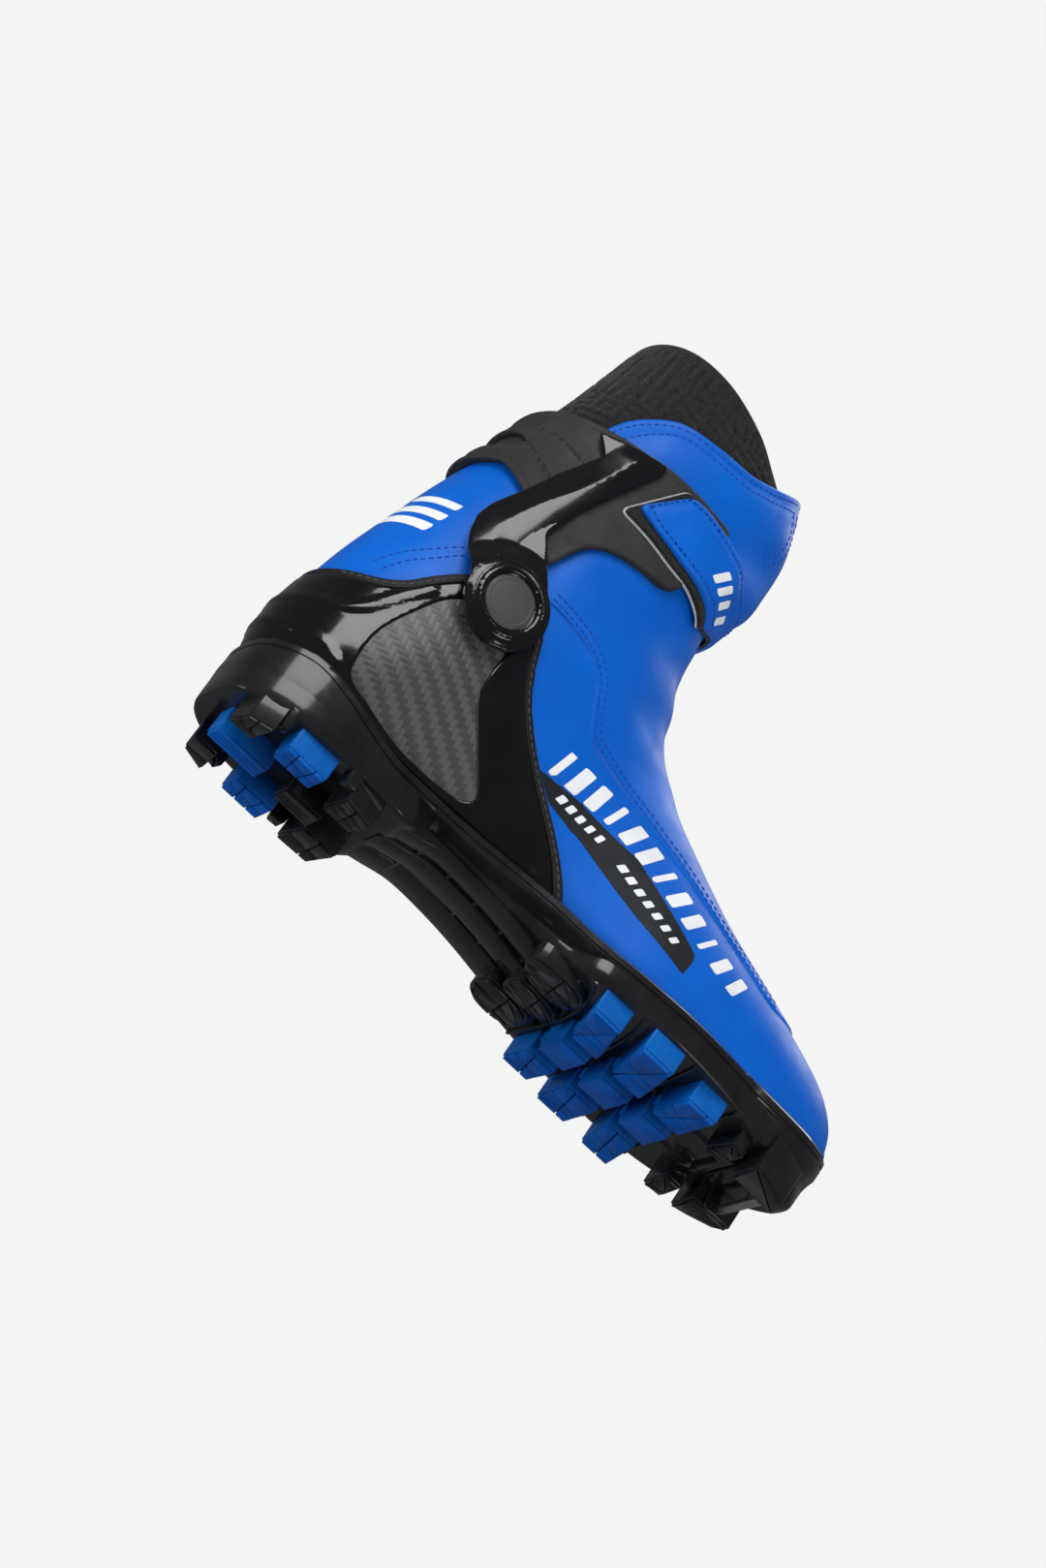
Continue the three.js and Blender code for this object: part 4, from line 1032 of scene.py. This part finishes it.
def sole_shell():
    rim = np.interp(loop_x, rim_of[:, 0], rim_of[:, 1])
    under = np.interp(loop_x, *np.array(UNDERSIDE).T)
    waist = smooth(loop_x, 74, 92) * smooth_down(loop_x, 168, 148)
    band = np.clip(20.5, under + 1.5, rim - 5)
    rows = []

    def row(height, push, follow=1.4):
        """A ring at a height, pushed out from the outline, which stays follow outside the upper, or on it."""
        body = around(reach_of_body(height, -8))
        side = push + (np.maximum(body + follow, 0) if follow is not None else body)
        rows.append(np.stack([loop_x + loop_out[:, 0] * side, loop_y + loop_out[:, 1] * side, height], 1))

    for drop, push in ((7, -2.6), (1, -0.5), (0.1, 0.3)):
        row(rim - drop, push, None)
    row(rim - 0.1, -0.6)
    for drop, push in ((0.9, 0), (3.0, 0), (3.3, -0.55), (4.1, -0.55), (4.4, 0)):
        row(rim - drop, push)
    row(0.5 * (rim - 4.4) + 0.5 * (band + 0.9), 0.25)
    row(band + 0.9, 0.1)
    row(band + 0.2, -0.6 * waist)
    row(band, -8 * waist)
    row(0.5 * band + 0.5 * (under + 1.8), -8 * waist)
    for rise, push in ((1.8, 0.1), (0.6, 0.6), (0, 1.9)):
        row(under + rise, -8 * waist - push)
    n = len(loop_x)
    points = np.vstack(rows)
    faces = [f[::-1] for f in rings(len(rows), n)]

    def web(ring, start, columns, height, flip):
        """Closes a ring with strips from its outer to its inner side."""
        nonlocal points, faces
        across = np.linspace(0, 1, columns + 1)
        ids = np.zeros((SECTIONS + 1, columns + 1), int)
        made = []
        for i in range(SECTIONS + 1):
            a, b = i, (2 * SECTIONS - i) % n
            for k, t in enumerate(across):
                if k == 0 or i in (0, SECTIONS):
                    ids[i, k] = start + a
                elif k == columns:
                    ids[i, k] = start + b
                else:
                    p = ring[a] * (1 - t) + ring[b] * t
                    ids[i, k] = len(points) + len(made)
                    made.append([p[0], p[1], p[2] + height(p[0], p[1], min(t, 1 - t))])
        points = np.vstack([points, made])
        for i in range(SECTIONS):
            for k in range(columns):
                quad = [ids[i, k], ids[i, k + 1], ids[i + 1, k + 1], ids[i + 1, k]]
                quad = list(dict.fromkeys(quad))
                if len(quad) > 2:
                    faces.append(tuple(quad[::-1] if flip else quad))

    def relief(x, y, edge):
        groove = 1.1 * float(smooth(abs(y), 8.0, 9.2) * smooth_down(abs(y), 16, 14.8))
        groove *= float(smooth(x, 172, 176) * smooth_down(x, 256, 251))
        channel = 1.4 * float(smooth(x, 84, 92) * smooth_down(x, 160, 150) * smooth(edge, 0.08, 0.2))
        return groove + channel

    web(rows[-1], n * (len(rows) - 1), 56, relief, False)
    web(rows[0], 0, 2, lambda x, y, edge: 0.0, True)
    return points, faces


def ribbon(path, width):
    """The outline of a strip of some width along a path in plan."""
    p = curve(path, step=3)
    return np.vstack([moved(p, width / 2), moved(p, -width / 2)[::-1]])


def halves(outline, point, direction):
    """The two parts of a convex outline on each side of a line."""
    p, d = np.asarray(outline, float), np.asarray(direction, float)
    s = d[0] * (p[:, 1] - point[1]) - d[1] * (p[:, 0] - point[0])
    for sign in (1, -1):
        part = []
        for i in range(len(p)):
            j = (i + 1) % len(p)
            if sign * s[i] >= 0:
                part.append(p[i])
            if s[i] * s[j] < 0:
                part.append(p[i] + (p[j] - p[i]) * s[i] / (s[i] - s[j]))
        if len(part) > 2:
            yield np.array(part)


def inset(outline, amount):
    """A convex outline with its sides moved in."""
    p = np.asarray(outline, float)
    if (p[:, 0] * np.roll(p[:, 1], -1) - p[:, 1] * np.roll(p[:, 0], -1)).sum() < 0:
        p = p[::-1]
    out = []
    for i in range(len(p)):
        u, v = p[i] - p[i - 1], p[(i + 1) % len(p)] - p[i]
        u, v = u / (np.linalg.norm(u) + 1e-9), v / (np.linalg.norm(v) + 1e-9)
        m = np.array([-u[1] - v[1], u[0] + v[0]])
        out.append(p[i] + amount * m / max(1 + u @ v, 0.4))
    return np.array(out)


def block(outline, low, high, cuts=(), edge=0.5, corner=0.9, draft=0.35, depth=1.5):
    """A tread block. Each cut, a point and a direction as shares of its size, is a thin groove in its ground
    face."""
    p = np.asarray(outline, float)
    centre, size = p.mean(0), np.ptp(p, axis=0)
    tops = [inset(p, draft)]
    for (cx, cy), direction in cuts:
        point = centre + size * (cx, cy)
        tops = [half for top in tops for half in halves(top, point, direction)]
    solids = [slab(fillet(p, corner), low + depth - 0.2, high, 0.3)]
    for top in tops:
        if np.ptp(top, axis=0).min() > 1.2:
            solids.append(slab(fillet(inset(top, 0.22 if cuts else 0), 0.4, 3), low, low + depth, edge * 0.6))
    return gather(solids)


CROSS = [((0, 0), (1, 0.15)), ((-0.18, 0), (0.12, 1)), ((0.2, 0), (-0.1, 1))]
HEEL_LUGS = [
    ([(9, -14), (20, -15), (21.5, -30.4), (11.5, -25.6)], [((0, 0.05), (1, 0.1)), ((0.05, 0), (0.1, 1))]),
    ([(8.5, 12), (20, 13), (22, 29.5), (11, 24.5)], [((0, 0.05), (1, -0.1))]),
    (oblong(43, -5.5, 60, 5.5), [((0, 0.18), (1, 0)), ((0, -0.18), (1, 0)), ((0, 0), (1, 0))]),
    ([(55, -13.5), (69, -13.5), (71, -26), (57, -30)],
     [((0, 0.1), (1, 0.05)), ((0, 0), (0, 1)), ((0.02, -0.2), (1, 0.1))]),
    ([(60, 8), (76, 8), (73, 26), (58, 27)], [((0, 0), (1, 0)), ((0.1, 0), (0, 1))]),
]
sole_parts = [sole_shell()] + [block(outline, 0, 13, cuts) for outline, cuts in HEEL_LUGS]
# The cup's wall comes down beside the outer lugs and leaves a notch between them.
for outline in ([(21.5, -24), (27, -25), (25.5, -31.6), (21.2, -30.6)],
                [(50.5, -26), (57, -25), (58, -32), (52, -32.5)],
                [(50, 24), (58, 23), (58, 31), (52, 31.6)], [(22, 22), (27, 24), (26, 31), (21, 29.6)]):
    sole_parts.append(slab(fillet(outline, 1.4), 4.5, 13, 1.0, draft=0.6))
TOE_LUGS = [
    ([(244, -17.5), (254, -18), (254, -32), (246, -36)], [((0, 0), (1, 0.2)), ((0, 0.2), (1, 0.1))]),
    ([(251, 18), (260, 18), (261, 34), (252, 36)], [((0, 0.1), (1, 0.1))]),
    ([(259, -17), (281, -17), (279, -26), (266, -33.2), (259, -36)], []),
    ([(265, 17), (284.5, 17), (281, 24), (272, 30.5), (265, 34)], []),
]
sole_parts += [block(outline, 2.2, 19, cuts, edge=1.2, corner=1.6, draft=0.7) for outline, cuts in TOE_LUGS]
for y in (-17, 17):  # cheeks that hold the binding bar, and a stop behind it
    sole_parts.append(slab(fillet([(270, 2.6), (280, 2.8), (283, 7), (283, 17), (268, 17)], 2), y - 1.6, y + 1.6, 0.6,
                           both=True, axis=1))
sole_parts.append(slab(fillet(oblong(256, -14, 259.5, 14), 1), 8.5, 15, 0.6))
sole_parts.append(slab(fillet([(262, -12), (269, -9), (269, 9), (262, 12)], 1), 10.5, 15, 0.6))
# Rails and cross ribs of the waist, and the pads that the rails end in.
waist_line = curve([(79, 9.5), (88, 11.5), (100, 14), (118, 13.8), (134, 12.3), (150, 9.8), (163, 7.8)], step=3)
WAIST_BARS = [(-24.0, -13.5, 0.8, 1.0), (-10.5, 2.5, 0, 1.0), (5.5, 21.5, 0.8, 1.0), (-12.8, -11.4, 1.9, 0.3),
              (3.2, 4.6, 1.9, 0.3)]


def waist_bar(y0, y1, higher, edge):
    return slab([*(waist_line + (0, higher)), (165, 16), (80, 19.5)], y0, y1, edge, both=True, axis=1)


sole_parts += [waist_bar(*bar_of) for bar_of in WAIST_BARS[:3]]
for x in (94, 108, 122, 136, 149):
    z = float(np.interp(x, waist_line[:, 0], waist_line[:, 1]))
    sole_parts.append(slab(fillet([(x - 0.8, -23), (x + 0.8, -23), (x + 2.2, 20), (x + 0.6, 20)], 0.3), z + 0.9,
                           z + 5, 0.4))
sole_parts += [waist_bar(*bar_of) for bar_of in WAIST_BARS[3:]]
PADS = [
    ([(146, -29), (158, -32.5), (169, -31), (173, -24), (170, -14), (158, -13), (150, -17)], 5.2),
    ([(152, -10.5), (160, -11.5), (172, -8), (175.5, -3), (172, 2), (161, 3.5), (153, 2.5)], 4.6),
    ([(148, 6), (160, 5.5), (170, 9), (172, 18), (166, 26), (154, 26), (148, 20)], 5.2),
]
for outline, low in PADS:
    sole_parts.append(block(curve(outline, closed=True, step=3), low, 14,
                            [((0, 0), (1, 0.1)), ((0.05, 0), (0.15, 1)), ((0, 0.24), (1, 0.1))], edge=0.9,
                            corner=0.2, draft=1.0))
# Low arched ribs between the tread rows.
RIBS = [[(167, -41.5), (174.5, -22), (176.9, 0), (176, 20), (175, 34)],
        [(188.6, -45.5), (193.5, -25), (196.3, 0), (196, 22), (195, 37)],
        [(214.2, -46.2), (216.2, -25), (217.6, 0), (218.5, 22), (219.8, 41.5)],
        [(238.5, -41.5), (238.6, -22), (238.4, 0), (239.6, 20), (241.5, 40.5)]]
sole_parts += [slab(ribbon(rib, 1.3), 8.7, 11.5, 0.5) for rib in RIBS]
sole = make("sole", *gather(sole_parts), RUBBER, 32)
wear(sole, "boot", "black_rubber", "outsole")

# Middle of each row, half its length, and for its outer and inner block how far it reaches and leans.
ROWS = [(186, 6.75, (-43, -8), (34, -1)), (207, 7.5, (-46.5, -6), (38.5, 0)), (227.5, 7, (-41, 0), (40.5, 4))]
for k, (x, half, *blocks) in enumerate(ROWS):
    solids = []
    for y1, lean in blocks:
        sign = 1 if y1 > 0 else -1
        outline = [(x - half, sign * 15.5), (x + half, sign * 15.5), (x + half + lean, y1), (x - half + lean, y1)]
        solids.append(block(outline[::sign], 0, 10.2,
                            [((0, 0.02), (1, 0.2)), ((-0.02, 0), (0.25 * sign, 1)), ((0, 0.24), (1, -0.15))]))
    solids.append(block(oblong(x - half, -8.5, x + half, 8.5), 0, 10.2))
    solids.append(slab(fillet(oblong(x - half + 1.5, -17, x + half - 1.5, 17), 1), 6.4, 10.8, 0.8))
    row_piece = make(f"tread_row_{k + 1}_rubber", *gather(solids), BLUE_RUBBER, 32)
    wear(row_piece, "boot", "blue_rubber", f"tread_row_{k + 1}")
lengthwise = [((0, 0), (1, 0)), ((0, 0.2), (1, 0)), ((0, -0.2), (1, 0))]
for word, corners, cuts in (("middle", (10, -5.5, 34, 5.5), lengthwise), ("outer", (29, -29.5, 47, -16.5), CROSS),
                            ("inner", (31, 15, 49, 28), CROSS)):
    pad = make(f"heel_pad_{word}", *block(oblong(*corners), 0, 10.3, cuts), BLUE_RUBBER, 32)
    wear(pad, "boot", "blue_rubber", f"heel_tread_{word}")
bar_ends = [(277, y, 7) for y in (-20.4, -20.2, -19.8, 19.8, 20.2, 20.4)]
wear(make("toe_bar", *tube(bar_ends, 2, 32), STEEL), "boot", "steel", "binding_bar")

# ---------------------------------------------------------------- footbed, lace and zip
BED_START, BED_END, BED_COLUMNS = 12, 276, 25
bed_x = np.linspace(BED_START, BED_END, 90)
bed_outer, bed_inner = (np.interp(bed_x, np.sort(h[:, 0]), h[np.argsort(h[:, 0]), 1]) for h in (outer_half, inner_half))
end_round = np.sqrt(np.clip(np.minimum((bed_x - BED_START) / 18, (BED_END - bed_x) / 30), 0, 1))
bed_top = []
for x, a, b in zip(bed_x, (bed_outer + 9.8) * end_round, (bed_inner - 9.8) * end_round):
    for t in np.linspace(0, 1, BED_COLUMNS):
        rise = 1.1 * (2 * t - 1) ** 4 + 1.6 * math.exp(-((x - 110) / 34) ** 2) * t
        bed_top.append((x, a + (b - a) * t, np.interp(x, *np.array(FLOOR).T) + 10.4 + rise))
bed_top = np.array(bed_top)
bed_under = bed_top.copy()
bed_under[:, 2] = np.interp(bed_under[:, 0], *np.array(FLOOR).T) + 7.5
m, total = BED_COLUMNS, len(bed_top)
quads = turned(rings(len(bed_x), m, False))
edge_ids = [*range(0, total, m), *range(total - m + 1, total), *range(total - m - 1, 0, -m), *range(m - 2, 0, -1)]
walls = [(b, b + total, a + total, a) for a, b in zip(edge_ids, edge_ids[1:] + edge_ids[:1])]
footbed = make("footbed_pad", np.vstack([bed_top, bed_under]),
               quads + [tuple(total + i for i in q[::-1]) for q in quads] + walls, FOAM)
wear(footbed, "boot", "foam", "footbed")

lace_angles = np.array([(0.28, 0, -0.28, 0)[k % 4] for k in range(17)])
lace_points = surface(np.linspace(4.9, 7.6, 17), lace_angles, np.full(17, -3.7))
wear(make("lace_cord", *tube(curve(lace_points, step=2), 1.0, 10), PILE), "boot", "nylon", "lace")

# The zip runs down the instep, rolled a little to the inner side.
ALONG = np.array([54, 0, -27]) / math.hypot(54, 27)
ZIP_START, ROLL = np.array([168, 13, 100.5]), 0.28
instep_up, across = np.array([27, 0, 54]) / math.hypot(54, 27), np.array([0, 1, 0])
zip_side = across * math.cos(ROLL) + instep_up * math.sin(ROLL)
zip_top = instep_up * math.cos(ROLL) - across * math.sin(ROLL)


def brick(centre, axes, size, edge=0.15):
    """A small block with its corners taken off, on three axes."""
    sx, sy, sz = np.array(size) / 2
    outline = fillet(oblong(-sx, -sy, sx, sy), min(sx, sy) * 0.4, 3)
    p, f = slab(outline, -sz, sz, edge, both=True)
    return centre + p @ np.array(axes), f


zip_solids = [brick(ZIP_START + ALONG * 30.2, (ALONG, zip_side, zip_top), (60.4, 6, 0.7))]
for k in range(58):
    at = ZIP_START + ALONG * (1.2 + k) + zip_side * (0.55 if k % 2 else -0.55) + zip_top * 0.6
    zip_solids.append(brick(at, (ALONG, zip_side, zip_top), (0.75, 2.2, 1.1), 0.12))
wear(make("zip_teeth", *gather(zip_solids), NYLON, 40), "boot", "nylon", "zip_chain")

# A facing beside the teeth, which runs into the upper at its edges and ends.
facing = []
for t in np.linspace(-3, 63.5, 40):
    end = float(smooth(t, -3, 1) * smooth_down(t, 63.5, 60))
    row = []
    for sideways in (-8.5, -4.6, -3.4, 3.4, 4.6, 8.5):
        p = ZIP_START + ALONG * t + zip_side * sideways + zip_top * (0.35 if abs(sideways) > 4 else -0.1)
        hit = TREES["upper"].ray_cast(Vector(p + zip_top * 30), Vector(-zip_top), 80)
        skin_point = np.array(hit[0]) if hit[0] else p
        row.append(skin_point if abs(sideways) > 8 else p * end + (1 - end) * skin_point)
    facing += [*row, row[5] - zip_top * 1.2, row[0] - zip_top * 1.2]
rows, m = len(facing) // 8, 8
zip_facing = make("zip_facing", facing, [(*f[1:], f[0]) for f in rings(rows, m)] + caps(rows, m), BLUE, 50)
wear(zip_facing, "boot", "blue_leather")

# ---------------------------------------------------------------- CAD pieces that stay
STAYING = {NYLON: ("shank_plate", "heel_stiffener", "toe_puff", "pivot_washer_outer", "pivot_washer_inner"),
           BOARD: ("lasting_board",), STEEL: ("zip_slider", "pivot_rivet_outer", "pivot_rivet_inner")}
for finish, names in STAYING.items():
    for name in names:
        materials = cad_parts[name].data.materials
        materials.clear()
        materials.append(finish)

# ---------------------------------------------------------------- floor
bpy.ops.mesh.primitive_grid_add(x_subdivisions=2, y_subdivisions=2, size=6, location=(0, 0, -0.0002))
floor = bpy.context.object
floor.name = "floor"
paper = Finish("floor_paper", (0.88, 0.88, 0.885), 0.8)
paper.colours(paper.spread(paper.noise(40, 2), 0, 1), (0.87, 0.87, 0.875), (0.89, 0.89, 0.895))
# The floor isn't there when it is seen from underneath, as the main camera sees it.
face, sight, clear = paper.node("NewGeometry"), paper.node("LightPath"), paper.node("BsdfTransparent")
# Far from the boot it fades into the backdrop.
length = paper.node("VectorMath", {0: paper.mm}, operation="LENGTH").outputs["Value"]
fade = paper.math("MULTIPLY", paper.spread(length, 0, 1, 350, 1500), sight.outputs["Is Camera Ray"])
glow = paper.node("Emission", {"Color": BACKDROP})
far = paper.node("MixShader", {"Fac": fade, 1: paper.shader.outputs[0], 2: glow.outputs[0]})
one_sided = paper.node("MixShader", {"Fac": face.outputs["Backfacing"], 1: far.outputs[0], 2: clear.outputs[0]})
paper.feed(paper.nodes["Material Output"], {"Surface": one_sided.outputs[0]})
floor.data.materials.append(paper.material)
floor.visible_shadow = floor.visible_glossy = False
